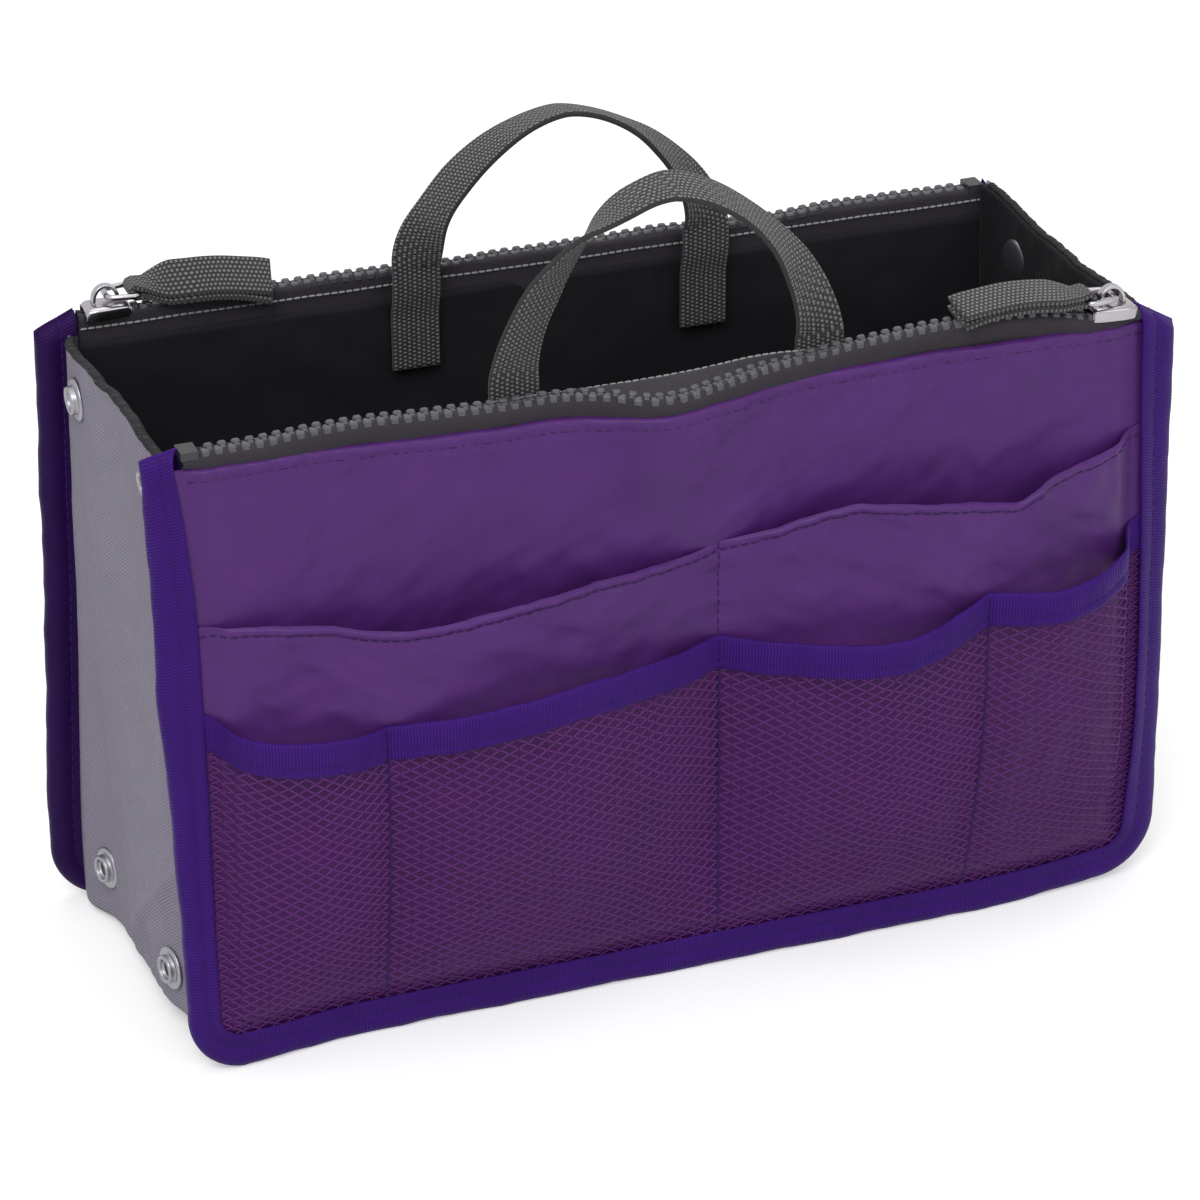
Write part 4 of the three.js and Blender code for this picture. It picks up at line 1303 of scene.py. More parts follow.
for wall in WALLS:
    x = np.mean(corners(f"{wall.name}_zip_slider"), axis=0)[0]
    strap = pull_strap(wall, x, wall.out)
    node = f"{wall.name}_zip_pull_strap"
    place(strap, f"{wall.name}_pull", webbing_finish, "grey_webbing", node)
print("pulls: two plies of webbing round the ring")

# %% Handles
HANDLE_CENTRE = 2
HANDLE_SPAN = 84
HANDLE_ROUNDNESS = 1.21
HANDLE_INWARD, SEWN_DEPTH, SEWN_TO = 9.65, 2.2, 149.5
HANDLE_AXIS = CHAIN_TOP + 1.8
LOOP_POINTS, LEG_POINTS = 81, 25
HANDLE_TURNS = {
    "front": [
        (0, 0), (0.04, -9), (0.12, -22), (0.19, -29), (0.23, -40), (0.27, -50), (0.3, -61),
        (0.33, -77), (0.37, -90), (0.44, -96), (0.53, -103), (0.62, -104), (0.71, -108),
        (0.77, -118), (0.84, -138), (0.91, -155), (1, -180),
    ],
    "rear": [
        (0, 0), (0.07, 34), (0.14, 66), (0.24, 76), (0.32, 85), (0.39, 94), (0.52, 99),
        (0.61, 97), (0.69, 88), (0.74, 76), (0.8, 63), (0.87, 43), (0.95, 19), (1, 0),
    ],
}


def handle_path(wall, rise):
    """Round legs that lean in to the top, which is half an ellipse with its powers raised. Below
    each hinge the strap steps in to the lining, where it is sewn. wide starts along the wall
    and turns about the strap's own line, by the table's pairs of a share of the way and
    degrees."""
    share = np.linspace(0, 1, LOOP_POINTS)
    turn = np.pi * (1 - share)
    run, height = np.cos(turn), np.clip(np.sin(turn), 0, 1)
    x = HANDLE_CENTRE + HANDLE_SPAN / 2 * np.sign(run) * np.abs(run) ** HANDLE_ROUNDNESS
    z = HANDLE_AXIS + rise * height**HANDLE_ROUNDNESS
    loop = np.stack([x, np.full(LOOP_POINTS, wall.y(HANDLE_INWARD)), z], -1)
    direction = along_path(loop)
    direction[0], direction[-1] = UP, [0, 0, -1]
    twist = np.radians(curve(share, *zip(*HANDLE_TURNS[wall.name])))[:, None]
    across = np.cross(direction, TO_REAR)
    wide = across * np.cos(twist) + np.array(TO_REAR) * np.sin(twist)
    down = np.linspace(0, 1, LEG_POINTS + 1)[1:]
    leg_z = HANDLE_AXIS - down * (HANDLE_AXIS - SEWN_TO)
    inward = HANDLE_INWARD - SEWN_DEPTH * smooth_between(-leg_z, -174, -164)
    leg = np.stack([np.zeros(LEG_POINTS), wall.y(inward), leg_z], -1)
    left = leg[::-1] + [loop[0, 0], 0, 0]
    right = leg + [loop[-1, 0], 0, 0]
    starts, ends = everywhere(wide[0], LEG_POINTS), everywhere(wide[-1], LEG_POINTS)
    return np.concatenate([left, loop, right]), np.concatenate([starts, wide, ends])


def handle(wall, rise):
    """A webbing handle: a rounded section swept along its path, with its transform baked in."""
    path, wide = handle_path(wall, rise)
    direction = along_path(path)
    thin = unit(np.cross(wide, direction))
    wide = unit(np.cross(direction, thin))
    section = rounded(13.5, 1.6, 0.65, 4)
    ends = [f"{wall.name}_handle_{hand}_end" for hand in ("left", "right")]
    made = sweep(f"{wall.name}_handle_webbing", path, wide, thin, section)
    place(made, None, webbing_finish, "grey_webbing", f"{wall.name}_handle", *ends)
    y = wall.y(HANDLE_INWARD) * MM
    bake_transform(made)


handle(FRONT, 47)
handle(REAR, 39)
print("handles: webbing hinged above the chain, turned on edge over the top")

# %% [markdown]
# ## Outside pockets
#
# The front wall carries two tiers: deep pockets of the same nylon, and in front of them four
# mesh pockets. Each pocket is held flat at its seams and stands off the wall between them, so
# its depth is a half sine across and rises over its lower part. The same three formulas place
# the nylon, the net and the tape.

# %% Pocket shapes


class Tier:
    """A row of pockets: the seams between them, the line of their tops as (place, height)
    pairs, and their bulge. Places along the wall are shares of its clear length."""

    def __init__(self, seams, line, bulge):
        self.seams = np.array(seams)
        self.line = list(zip(*line))
        self.bulge = bulge

    def along(self, x):
        return np.clip((x + HALF_SPAN) / (2 * HALF_SPAN), 0, 1)

    def across(self, x):
        """The share of the way across the pocket that x falls in."""
        share = self.along(x)
        pocket = np.clip(np.searchsorted(self.seams, share, side="left") - 1, 0, None)
        left, right = self.seams[pocket], self.seams[pocket + 1]
        return (share - left) / (right - left)

    def top(self, x):
        return curve(self.along(x), *self.line)

    def stands_off(self, x, z):
        up = np.clip((z - FLANGE) / (self.top(x) - FLANGE) / 0.6, 0, 1)
        return self.bulge * np.sin(np.pi * self.across(x)) * np.sin(np.pi / 2 * up)

    def seam_x(self, number):
        return (2 * self.seams[number] - 1) * HALF_SPAN

    def stations(self, per_pocket, beyond=1.3):
        """Places along the tier, gathered towards the seams, where the cloth turns fastest."""
        edges = (2 * self.seams - 1) * (HALF_SPAN + beyond)
        edges[1:-1] = (2 * self.seams[1:-1] - 1) * HALF_SPAN
        even = np.linspace(0, 1, per_pocket + 1)
        share = (1 - np.cos(np.pi * even)) / 4 + even / 2
        runs = [a + (b - a) * share[:-1] for a, b in zip(edges[:-1], edges[1:])]
        return np.concatenate([*runs, edges[-1:]])


FABRIC_LINE = [
    (0, 129.9), (0.064, 130), (0.127, 129), (0.18, 126.4), (0.235, 125.5), (0.305, 126.6),
    (0.37, 128), (0.453, 128.8), (0.51, 129.2), (0.545, 130.6), (0.63, 136.2), (0.67, 138.4),
    (0.683, 138.8), (0.7, 138.4), (0.75, 137), (0.805, 134.8), (0.842, 132.5), (0.857, 131.8),
    (0.868, 133.4), (0.884, 135.9), (0.914, 138.2), (0.947, 139.6), (0.98, 142.6), (1, 144),
]
NET_LINE = [
    (0, 105.4), (0.02, 102.6), (0.05, 101.2), (0.1, 101.4), (0.186, 99.8), (0.238, 101.2),
    (0.301, 104.2), (0.363, 106), (0.439, 106), (0.5, 104.4), (0.546, 103.8), (0.632, 103.4),
    (0.7, 102.6), (0.743, 103.8), (0.822, 107.8), (0.883, 108.4), (0.932, 109.8), (1, 117),
]
FABRIC = Tier([0, 0.545, 1], FABRIC_LINE, 11)
NET = Tier([0, 0.186, 0.545, 0.822, 1], NET_LINE, 9)
BACK = Tier([0, 0.5, 1], [(0, 118), (0.25, 115), (0.5, 118), (0.75, 115), (1, 118)], 9)


def pocket_foot(x):
    """The pockets' lower edge, just under the binding and round its corners."""
    return lower_edge(x, FLANGE - 1.3)


def fabric_out(x, z):
    return 0.3 + FABRIC.stands_off(x, z)


def back_out(x, z):
    return 0.3 + BACK.stands_off(x, z)


def net_out(x, z):
    return fabric_out(x, z) + 1.4 + NET.stands_off(x, z)


def layer(out, level, x, z):
    """A pocket layer's distance out from the wall: free inside, at its own level where the
    binding holds it down."""
    tuck = tucked(x, z)
    return out * (1 - tuck) + level * tuck


print(f"tiers reach {max(FABRIC.line[1])} and {max(NET.line[1])} mm")

# %% [markdown]
# The nylon pockets have a narrow hem: the cloth is turned down and stitched two and a half
# millimetres below the edge. Stitching draws the cloth up a little, and that shows as small
# puckers along the line, and along the seam between two pockets.

# %% Nylon pockets
HEM = 2.6
POCKET_STITCH = (2.8, 2.0, 0.22)


def roll(below_top):
    """The hem's fullness: round at the very edge, full in the hem, tight at the stitches."""
    inside = np.sin(np.pi * np.clip(below_top / HEM, 0, 1)) ** 0.6 * 0.55
    edge = -0.7 * (1 - smooth_between(below_top, 0, 0.8))
    groove = -0.3 * np.exp(-(((below_top - HEM) / 0.5) ** 2))
    return inside + edge + groove


def nylon_pocket(name, wall, tier, base_out, node, seed, finish):
    """A tier of two pockets: its cloth, with the part behind the net marked for its finish, and
    the stitches of its hem and of the seam between the pockets."""
    x = tier.stations(90)[None, :]
    share = 1 - (1 - np.linspace(0, 1, 100)[:, None]) ** 1.7
    foot, top = pocket_foot(x), tier.top(x)
    z = foot + (top - foot) * share
    below_top = top - z
    across = tier.across(x)
    at_seam = smooth_between(np.minimum(across, 1 - across), 0, 0.16)
    free = at_seam * smooth_between(z - foot, 4, 22)
    wrinkles = (1.2 * folds(x, z, 48, seed) + 0.7 * folds(x + z, z, 34, seed + 4)) * free
    by_hem = np.exp(-((np.abs(below_top - HEM) / 4) ** 1.5)) * at_seam
    by_seam = np.exp(-np.abs(x - tier.seam_x(1)) / 5)
    pucker = 0.35 * drift(x, 8, seed) * by_hem + 0.5 * drift(z, 11, seed) * by_seam
    out = base_out(x, z) + 0.8 + roll(below_top) * (0.4 + 0.6 * at_seam) + pucker + wrinkles
    out = layer(np.maximum(out, 0.5), -0.7, x, z)
    points = on_wall(wall, x, out, z)
    made = cloth(name, points, flip=wall.out > 0)
    thicken(made, THIN_CLOTH)
    below_net = 1 - smooth_between(z, NET.top(x) - 6.5, NET.top(x) - 3.5)
    mask = made.data.attributes.new("below_net", "FLOAT", "POINT")
    mask.data.foreach_set("value", below_net.ravel().astype(np.float32))
    place(made, wall.body, finish, "purple_nylon", node)
    row = np.argmin(np.abs(below_top - HEM), axis=0)
    seam = np.argmin(np.abs(x[0] - tier.seam_x(1)))
    lines = {"hem": points[row, np.arange(x.shape[1])], "divider": points[25:, seam]}
    for label, path in lines.items():
        up = everywhere([0, wall.out, 0], len(path))
        label, slot = f"{name}_{label}_stitches", "purple_nylon"
        stitches(label, path + up * 0.12, up, POCKET_STITCH, purple_thread, wall.body, slot)


node = "front_fabric_pockets"
nylon_pocket("front_nylon_pockets", FRONT, FABRIC, fabric_out, node, 3, pocket_finish)
node = "rear_slip_pockets"
nylon_pocket("rear_nylon_pockets", REAR, BACK, back_out, node, 9, nylon_finish)

# %% [markdown]
# ### The mesh pockets
#
# The net is knitted: neighbouring cords run up in zigzags and touch at every turn, which
# leaves flat diamond holes, five millimetres wide and nearly three high. Each cord is modelled.
# It follows the pocket's surface, and its zigzag is a triangle wave with slightly flat tips.

# %% The net
CELL_WIDTH = 5.0
CELL_HEIGHT = 2.9
CORD_RADIUS = 0.23
CORD_SIDES = 4
CORD_ROWS = 330


def zigzag(phase):
    """A triangle wave from -1 to 1 with flat tips."""
    wave = 1 - 4 * np.abs(phase % 1 - 0.5)
    return np.clip(wave * 1.15, -1, 1)


def net_cords(number):
    """All the cords of one pocket, as four-sided tubes along their zigzags."""
    left, right = NET.seam_x(number) + 0.3, NET.seam_x(number + 1) - 0.3
    count = max(int(round((right - left) / (CELL_WIDTH / 2))), 4)
    pitch = (right - left) / count
    number_of = np.arange(count)[:, None]
    share = np.linspace(0, 1, CORD_ROWS)[None, :]
    base_x = left + (number_of + 0.5) * pitch + 0 * share
    foot = pocket_foot(base_x)
    top = NET.top(base_x) - 4
    z = foot + (top - foot) * share
    level = z / CELL_HEIGHT + 0.35 * drift(base_x, 60, number)
    swing = np.where(number_of % 2 == 0, 1, -1) * zigzag(level)
    x = base_x + swing * (pitch / 2 - 0.12)
    x = x + 0.6 * drift(z, 40, number) * smooth_between(np.minimum(x - left, right - x), 0, 8)
    out = net_out(x, z) + 0.35 + 0.6 * folds(x, z, 40, 5) * np.clip(share * 4, 0, 1)
    out = layer(out, -0.3, x, z)
    centre = on_wall(FRONT, x, out, z)
    direction = unit(np.gradient(centre, axis=1))
    side = unit(np.cross(direction, [0, FRONT.out, 0]))
    outward = np.cross(side, direction)
    loop = ringed(CORD_RADIUS, CORD_SIDES)
    ring = centre[:, :, None] + loop[:, :1] * side[:, :, None] + loop[:, 1:] * outward[:, :, None]
    per_cord = CORD_ROWS * CORD_SIDES
    faces = grid_faces(CORD_ROWS, CORD_SIDES, around=True)[0]
    faces = (faces[None] + (number_of * per_cord)[:, :, None]).reshape(-1, 4)
    first = np.arange(CORD_SIDES)[::-1] + number_of * per_cord
    last = first[:, ::-1] + per_cord - CORD_SIDES
    every = facing_out(ring, np.concatenate([faces, first, last]))
    return make_piece(f"mesh_net_{number + 1}", ring, every)


for number in range(4):
    net = net_cords(number)
    place(net, FRONT.body, netting_finish, "purple_netting", f"mesh_pocket_{number + 1}")
    print(f"{net.name}: {len(net.data.polygons)} faces")

# %% The mesh pockets' top tape
TOP_TAPE_PROFILE = np.array([
    (0, 0.1), (0.25, 0.6), (0.9, 0.95), (2.2, 1.15), (4.2, 1.15), (6.4, 0.95), (7.1, 0.8),
    (7.7, 0.95), (8.5, 1.1), (9.4, 0.9), (9.85, 0.55), (10.1, 0.1),
])
DIVIDER_STITCH = (2.6, 2.0, 0.26)


def top_tape():
    """Grosgrain along the mesh pockets' top: round edges, and a stitched groove in its lower
    third. The profile holds depths below the top, and how far the tape stands out there."""
    x = NET.stations(60)[None, :]
    depth, full = TOP_TAPE_PROFILE[:, :1], TOP_TAPE_PROFILE[:, 1:]
    z = NET.top(x) - depth + 0.3 * drift(x, 38, 4)
    across = NET.across(x)
    by_seam = np.exp(-np.minimum(across, 1 - across) * 14)
    out = net_out(x, z) + 0.4 + full + 0.14 * drift(x, 9, 6) - 0.35 * by_seam
    out = layer(out, 0.0, x, z)
    points = on_wall(FRONT, x, out, z)
    made = cloth("mesh_top_tape", points[::-1])
    thicken(made, THIN_CLOTH)
    place(made, FRONT.body, grosgrain_finish, "purple_grosgrain", "mesh_pocket_top_tape")
    groove = np.argmin(np.abs(depth - 7.1))
    normal = everywhere([0, FRONT.out, 0], x.shape[1])
    path = points[groove] + normal * 0.06
    name, slot = "mesh_tape_stitches", "purple_grosgrain"
    stitches(name, path, normal, POCKET_STITCH, violet_thread, FRONT.body, slot)


def net_divider(number):
    """The seam between two mesh pockets: a line of stitches up the net and over the tape."""
    x = np.full(120, NET.seam_x(number))
    z = np.linspace(FLANGE + 1, NET.top(x[0]) - 1, 120)
    on_tape = smooth_between(z, NET.top(x[0]) - 11, NET.top(x[0]) - 9.5)
    out = net_out(x, z) + 0.6 + 0.95 * on_tape
    path, normal = on_wall(FRONT, x, out, z), everywhere([0, FRONT.out, 0], len(z))
    name, slot = f"mesh_divider_{number}_stitches", "purple_grosgrain"
    stitches(name, path, normal, DIVIDER_STITCH, violet_thread, FRONT.body, slot)


top_tape()
for number in (1, 2, 3):
    net_divider(number)

# %% [markdown]
# ## Gussets
#
# Each end is one piece of twill with a lining, creased down its middle so that it folds
# inwards. In use it pushes out into a shallow belly, with a slanting fold near the bottom. The
# cloth crosses the crease's hinge, so the whole side is one mesh.

# %% Gusset cloth
ACROSS = [0, 0.04, 0.17, 0.5, 0.83, 0.96, 1]
BELLIES = {
    "left": ([0.1, 1.4, 3.0, 3.7, 4.9, 4.2, 2.5], [0.1, 2.0, 4.4, 3.2, 0.6, 3.4, 2.4]),
    "right": ([1.4, 1.9, 3.2, 4.6, 3.4, 1.6, 0.4], [0.1, 1.2, 3.0, 4.0, 3.0, 1.2, 0.4]),
}
FEET = {"left": [5.5, 5.5, 5.5, 3.8, 1.6, 0.9, 0.9], "right": [9, 9, 9, 9, 9, 9, 9]}
SEAM_FRONT = CREASE_Y - HALF_FOLD - 1.0
SEAM_REAR = CREASE_Y + HALF_FOLD + 1.1
FOOT_RADIUS = 3.2
UNDER_FROM = (128.8, 11.2)
LINING_DEPTH = 1.9
CREASE_REACH = 2.5


def across_gusset(y):
    """0 at the front wall's seam and 1 at the rear wall's."""
    return np.clip((y - (CREASE_Y - HALF_FOLD)) / (2 * HALF_FOLD), 0, 1)


def belly(end, y, z):
    """How far the gusset stands out: the line between the walls' own ends, a belly whose curve
    changes from the top to the foot, a slanting fold on the left, and soft folds."""
    share, hand = across_gusset(y), HANDS[end]
    straight = end_drift(FRONT, hand, z) * (1 - share) + end_drift(REAR, hand, z) * share
    high, low = (curve(share, ACROSS, heights) for heights in BELLIES[hand])
    up = smooth_between(z, 25, 130)
    soft = np.sin(np.pi * share)
    wrinkles = 1.1 * folds(y, z, 48, 4 + end) * soft
    if end > 0:
        return straight + low + (high - low) * up + wrinkles
    slanting = (z - 18) + (y + 30) * 0.95 - 34
    fold = 2.4 * np.exp(-((np.abs(slanting) / 4.5) ** 1.3)) * (1 - smooth_between(y, 0, 20))
    return straight + low + (high - low) * up + wrinkles + fold * soft


def gusset_top(end, y):
    """The top edge: nearly level, with a slight wave."""
    share = across_gusset(y)
    wave = 0.5 * drift(y, 34, 3 + end)
    if end < 0:
        return GUSSET_TOP + 0.4 + 2.2 * np.sin(np.pi * share) + 1.2 * share + wave
    corners_up = 1.4 * (1 - share) ** 4 + 6.0 * share**5
    return GUSSET_TOP + 2.4 - 1.2 * np.sin(np.pi * share) + corners_up + wave * 0.6


def gusset_grid(end, depth, rise=0.0):
    """Rows from the base's edge out along the underside, round the foot and up to the top."""
    y = np.linspace(SEAM_FRONT, SEAM_REAR, 100)[None, :]
    radius = FOOT_RADIUS - depth
    centre_z = curve(across_gusset(y), ACROSS, FEET[HANDS[end]]) + FOOT_RADIUS
    centre_x = HALF_SPAN + belly(end, y, centre_z) - FOOT_RADIUS
    under = np.linspace(0, 1, 7)[:-1, None]
    start_x, start_z = UNDER_FROM[0], UNDER_FROM[1] + depth * 0.3
    under_x = start_x + (centre_x - start_x) * under
    under_z = start_z + (centre_z - radius - start_z) * under
    turn = np.linspace(0, np.pi / 2, 8)[:-1, None]
    curl_x = centre_x + radius * np.sin(turn)
    curl_z = centre_z - radius * np.cos(turn)
    up = np.linspace(0, 1, 120)[:, None]
    wall_z = centre_z + (gusset_top(end, y) + rise - centre_z) * up
    wall_x = HALF_SPAN + belly(end, y, wall_z) - depth
    x = np.concatenate([under_x, curl_x, wall_x])
    z = np.concatenate([under_z, curl_z, wall_z])
    return np.stack([end * x, y + 0 * z, z], -1)


def bend_at_crease(piece, end):
    """Bakes the piece's transform into its mesh; the crease's two sides, five millimetres apart,
    are worked out but not used.
    """
    hand, x = HANDS[end], end * HALF_SPAN * MM
    start, finish = ((x, (CREASE_Y + reach) * MM, 0.09) for reach in (CREASE_REACH, -CREASE_REACH))
    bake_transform(piece)


for end, hand in HANDS.items():
    outer = cloth(f"{hand}_gusset_twill", gusset_grid(end, 0), flip=end < 0)
    thicken(outer, THIN_CLOTH)
    inner = cloth(f"{hand}_gusset_inside", gusset_grid(end, LINING_DEPTH, -0.6), flip=end > 0)
    thicken(inner, 0.8, 1)
    for piece, finish, slot, layer_name in (
        (outer, twill_finish, "grey_twill", "panel"),
        (inner, lining_finish, "black_lining", "lining"),
    ):
        nodes = [f"{hand}_gusset_{half}_{layer_name}" for half in ("front", "rear")]
        place(piece, None, finish, slot, *nodes)
        bend_at_crease(piece, end)

# %% [markdown]
# The gusset's raw top edge is overlocked: a dense wrap of dark thread goes over both layers.
# It is a soft, bumpy roll along the edge.

# %% Overlocked edges


def overlock(end):
    """A flattened tube along the top edge, its thickness rising and falling at each thread."""
    y = np.linspace(CREASE_Y + HALF_FOLD - 1.2, CREASE_Y - HALF_FOLD + 1.2, 300)
    z = gusset_top(end, y)
    x = end * (HALF_SPAN + belly(end, y, z) - 0.9)
    path = np.stack([x, y, z - 0.3 + 0.18 * drift(y, 5, 2)], -1)
    wide = everywhere([end, 0, 0], 300)
    thin = unit(np.cross(along_path(path), wide))
    threads = 1 + 0.14 * np.sin(np.arange(300) * 2.1)
    section = varied(ringed(1, 10), 1.15 * threads, 0.75 * threads)
    made = sweep(f"{HANDS[end]}_gusset_overlock", path, wide, thin, section)
    place(made, None, black_thread, "black_lining")
    bend_at_crease(made, end)


for end in HANDS:
    overlock(end)
print("gussets: twill outside, lining inside, overlocked along the top")

# %% [markdown]
# ## Snaps
#
# A snap on the gusset shows as a broad flange with a raised ring on it. Both are turned parts:
# a profile spun round the snap's axis. Inside, the rivet's cap closes the hole. They sit on the
# gusset's bellied surface, square to it.

# %% Snaps


def turned(name, profile, centre, axis, sides=32):
    """A profile of (radius, height) pairs spun round an axis. Radii of nearly zero close the
    ends, and they are joined there as a cap."""
    profile = np.asarray(profile, float)
    axis = unit(np.asarray(axis, float))
    first = unit(np.cross(axis, [0.0, 0.3, 1.0]))
    second = np.cross(axis, first)
    turn = np.arange(sides) / sides * 2 * np.pi
    ring = np.cos(turn)[:, None] * first + np.sin(turn)[:, None] * second
    points = centre + profile[:, None, :1] * ring[None] + profile[:, None, 1:] * axis
    faces = [list(face) for face in grid_faces(len(profile), sides, around=True)[0]]
    last = (len(profile) - 1) * sides
    faces.append(list(range(sides))[::-1])
    faces.append([last + k for k in range(sides)])
    return make_piece(name, points, facing_out(points, faces))


SOCKET_FLANGE = [
    (3.4, 0), (5.6, 0), (5.95, 0.2), (6.0, 0.5), (5.8, 0.9), (5.2, 1.15), (4.5, 1.0), (4.1, 0.9),
    (3.9, 1.1), (3.95, 2.2), (3.75, 2.7), (3.3, 2.85), (2.85, 2.6), (2.7, 2.1), (2.6, 1.2),
]
SOCKET_WELL = [(0.3, 0.2), (3.2, 0.2), (3.0, 0.9), (2.6, 1.2), (1.6, 1.3), (0.3, 1.35)]
CAP_DEPTH = 2.0
CAP_PROFILE = [(0.3, 0), (5.6, 0), (6.0, 0.25), (5.8, 0.65), (4.8, 1.1), (2.6, 1.38), (0.3, 1.45)]


def snap_seat(end, y, z, depth):
    """A point on the gusset and the direction out of it, from small steps in y and z."""

    def at(y, z):
        return np.array([end * (HALF_SPAN + belly(end, y, z) - depth), y, z])

    along = at(y + 1, z) - at(y - 1, z)
    rise = at(y, z + 1) - at(y, z - 1)
    normal = unit(np.cross(along, rise))
    return at(y, z), normal if normal[0] * end > 0 else -normal


def snap(end, half, level):
    """One snap: its flange outside, a dark disc in its well as painted shade, and its cap on the
    lining.
    """
    node, body = f"{HANDS[end]}_{half}_{level}_snap", f"{HANDS[end]}_gusset_{half}"
    _, y, z = np.mean(corners(f"{node}_socket"), axis=0)
    seat, normal = snap_seat(end, y, z, 0)
    flange = turned(f"{node}_flange", SOCKET_FLANGE, seat, normal)
    place(flange, body, steel_finish, "snap_steel", f"{node}_socket")
    # Painted shade: the well is a dark disc that stands for the shade deep in the socket's hollow.
    well = turned(f"{node}_well", SOCKET_WELL, seat, normal, 20)
    place(well, body, dark_plastic_and_hollow_shade_finish, "snap_steel")
    seat, normal = snap_seat(end, y, z, CAP_DEPTH)
    cap = turned(f"{node}_rivet", CAP_PROFILE, seat, -normal)
    place(cap, body, steel_finish, "snap_steel", f"{node}_cap")


for end in HANDS:
    for half in ("front", "rear"):
        for level in ("lower", "upper"):
            snap(end, half, level)
print("snaps: eight sockets and eight caps")

# %% [markdown]
# ## Base and pleats
#
# The base is one sheet, creased along its middle, where the real base folds down as the walls
# close. It is twill below and lined above. At each end a soft pleat takes up the cloth between the
# base and the gusset; on the real organizer it crumples as the walls fold.

# %% Base
BASE_MARGIN = 3
END_AT_WALL = corners("base_rear_panel")[1][0]
END_AT_CREASE = END_AT_WALL - (HALF_FOLD - BASE_MARGIN) * math.sin(math.radians(60))


def near_crease(y):
    """1 at the crease and 0 at the walls."""
    return 1 - np.abs(y - CREASE_Y) / HALF_FOLD


def base_end(y):
    """How far the base reaches to either side: less at the crease, so that it can fold."""
    return END_AT_WALL + (END_AT_CREASE - END_AT_WALL) * near_crease(y)


def base_grid(height):
    """The base's upper or lower face: a sheet whose ends slant in towards the crease."""
    reach = HALF_FOLD - BASE_MARGIN
    y = np.linspace(CREASE_Y - reach, CREASE_Y + reach, 60)[:, None]
    x = base_end(y) * np.linspace(-1, 1, 120)[None, :]
    z = FLANGE + height + 0.25 * folds(x, y, 60, 8) * (1 - near_crease(y) * 0.5)
    return np.stack([x, y + 0 * x, z], -1)


for label, height, finish, slot, nodes in (
    ("base_twill", 0.25, twill_finish, "grey_twill", ["base_front_panel", "base_rear_panel"]),
    ("base_inside", 1.35, lining_finish, "black_lining", []),
):
    sheet = cloth(label, base_grid(height), flip=label == "base_twill")
    sheet["flat"] = [2 * END_AT_WALL * MM, sheet["flat"][1]]
    thicken(sheet, 0.5)
    place(sheet, None, finish, slot, *nodes)
    start, finish_at = ((0, (CREASE_Y + reach) * MM, FLANGE * MM) for reach in (2, -2))
    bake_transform(sheet)

# %% Pleats


def pleat(end):
    """The triangle between the base's slanting end and the gusset, gathered in small pleats."""
    hand = HANDS[end]
    low, high = corners(f"{hand}_base_pleat")
    outer = high[0] if end > 0 else -low[0]
    y = np.linspace(low[1], high[1], 80)[:, None]
    inner = base_end(y) + 0.5
    share = np.linspace(0, 1, 40)[None, :]
    x = end * (inner + (outer - inner) * share)
    z = FLANGE + 1.2 + 0.35 * np.sin(y / 2.6 + 0.8 * share) + 0 * x
    made = cloth(f"{hand}_base_gather", np.stack([x, y + 0 * x, z], -1), flip=end < 0)
    thicken(made, 0.8)
    place(made, "rear_wall", lining_finish, "black_lining", f"{hand}_base_pleat")
    anchor = (0, (CREASE_Y + HALF_FOLD) * MM, FLANGE * MM)
    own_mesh(made)


for end in HANDS:
    pleat(end)
print("base and pleats are in")

# %% [markdown]
# ## Topstitching
#
# The panel's hem and the lining's top have their own stitch lines: purple thread on the nylon,
# and pale thread along the inner tape's selvedge, which is the light line that shows behind
# the front zip.

# %% Topstitching
HEM_STITCH = (3.0, 2.2, 0.28)
SELVEDGE_STITCH = (2.1, 1.9, 0.34)
SELVEDGES = {"front": (5.05, 177.25, 1.2), "rear": (5.5, 174.0, 0.0)}
for wall in WALLS:
    x = np.linspace(-(HALF_SPAN - 1), HALF_SPAN - 1, 240)
    z = np.full(240, PANEL_TOP - PANEL_HEM)
    out, dip = panel_surface(wall, x, z)
    path = on_wall(wall, x, out + 0.1, z - dip)
    name, slot = f"{wall.name}_panel_hem_stitches", "purple_nylon"
    normal = everywhere([0, wall.out, 0], len(x))
    stitches(name, path, normal, HEM_STITCH, purple_thread, wall.body, slot)
    inward, height, tilt = SELVEDGES[wall.name]
    z = height + ridge_rise(wall, x) + 0.12 * drift(x, 60, 3)
    path = on_wall(wall, x, -inward, z)
    name, slot = f"{wall.name}_lining_top_stitches", "black_lining"
    normal = everywhere([0, -wall.out, tilt], len(x))
    stitches(name, path, normal, SELVEDGE_STITCH, pale_thread, wall.body, slot)
print("topstitching is in")

# %% [markdown]
# ## Floor and light
#
# The organizer stands on a plain white floor. The camera sees that floor as almost pure white,
# through Is Camera Ray, while other rays meet an ordinary pale surface, so the cloth isn't lit
# by a glowing floor. One large soft lamp stands at the upper left, a weaker one fills from the
# right, and the world gives the rest.

# %% Floor and light


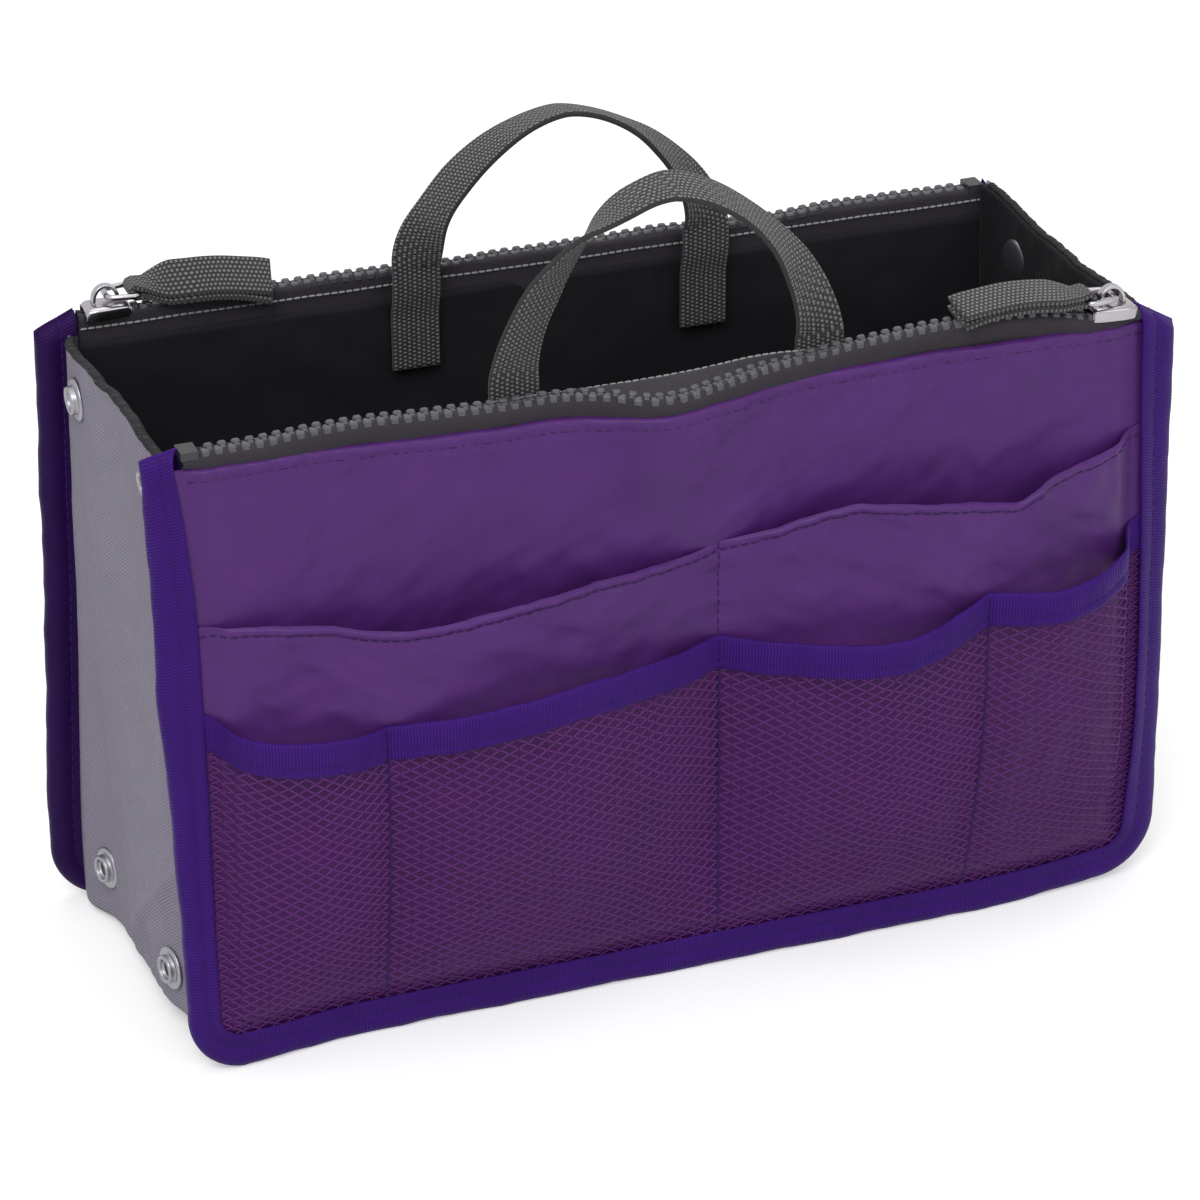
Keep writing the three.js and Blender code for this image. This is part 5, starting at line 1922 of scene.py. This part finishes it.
def studio_floor():
    size = 8000
    points = np.array([(-size, -size, 0), (size, -size, 0), (size, size, 0), (-size, size, 0)])
    made = make_piece("floor", points.astype(float), [[0, 1, 2, 3]], smooth=False)
    finish = Finish("floor", Specular_IOR_Level=0.0, Roughness=1.0)
    seen = finish.seen_directly()
    color = finish.mix(seen, (0.62, 0.62, 0.62, 1), (0.92, 0.92, 0.92, 1))
    finish.give(finish.shader.inputs["Base Color"], color)
    glow = finish.mix(seen, (0, 0, 0, 1), (1, 1, 1, 1))
    finish.give(finish.shader.inputs["Emission Color"], glow)
    finish.shader.inputs["Emission Strength"].default_value = 0.34
    made.data.materials.append(finish.material)
    made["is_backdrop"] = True


def lamp(name, power, size, place_at, towards):
    """A square soft lamp, turned to face a point."""
    data = bpy.data.lights.new(name, "AREA")
    data.energy = power
    data.size = size
    made = bpy.data.objects.new(name, data)
    made.location = place_at
    made.rotation_euler = (Vector(towards) - Vector(place_at)).to_track_quat("-Z", "Y").to_euler()
    scene.collection.objects.link(made)


studio_floor()
lamp("key", 16, 0.9, (-0.75, -1.1, 1.5), (0, 0, 0.08))
lamp("fill", 5, 1.2, (0.8, -1.4, 0.9), (0, 0, 0.08))
lamp("top", 9, 1.4, (0.1, 0.2, 1.9), (0, 0, 0.05))

WHITE = (1, 1, 1, 1)
world = bpy.data.worlds.new("studio")
sky = Nodes(world)
dim = sky.node("ShaderNodeBackground", None, {"Color": WHITE, "Strength": 0.45})
white = sky.node("ShaderNodeBackground", None, {"Color": WHITE, "Strength": 1.0})
chosen = sky.node("ShaderNodeMixShader", None, {0: sky.seen_directly(), 1: dim, 2: white})
sky.node("ShaderNodeOutputWorld", None, {0: chosen})
scene.world = world
scene.view_settings.view_transform = "Standard"
print("floor, three lamps and the world are set")

# %% The size, and the end
dressed_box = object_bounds()
boxes = {
    "cad": [list(corner) for corner in cad_box],
    "visual": [list(corner) for corner in dressed_box],
}
for name, (low, high) in boxes.items():
    print(name, [round((b - a) * 1000, 1) for a, b in zip(low, high)], "mm")
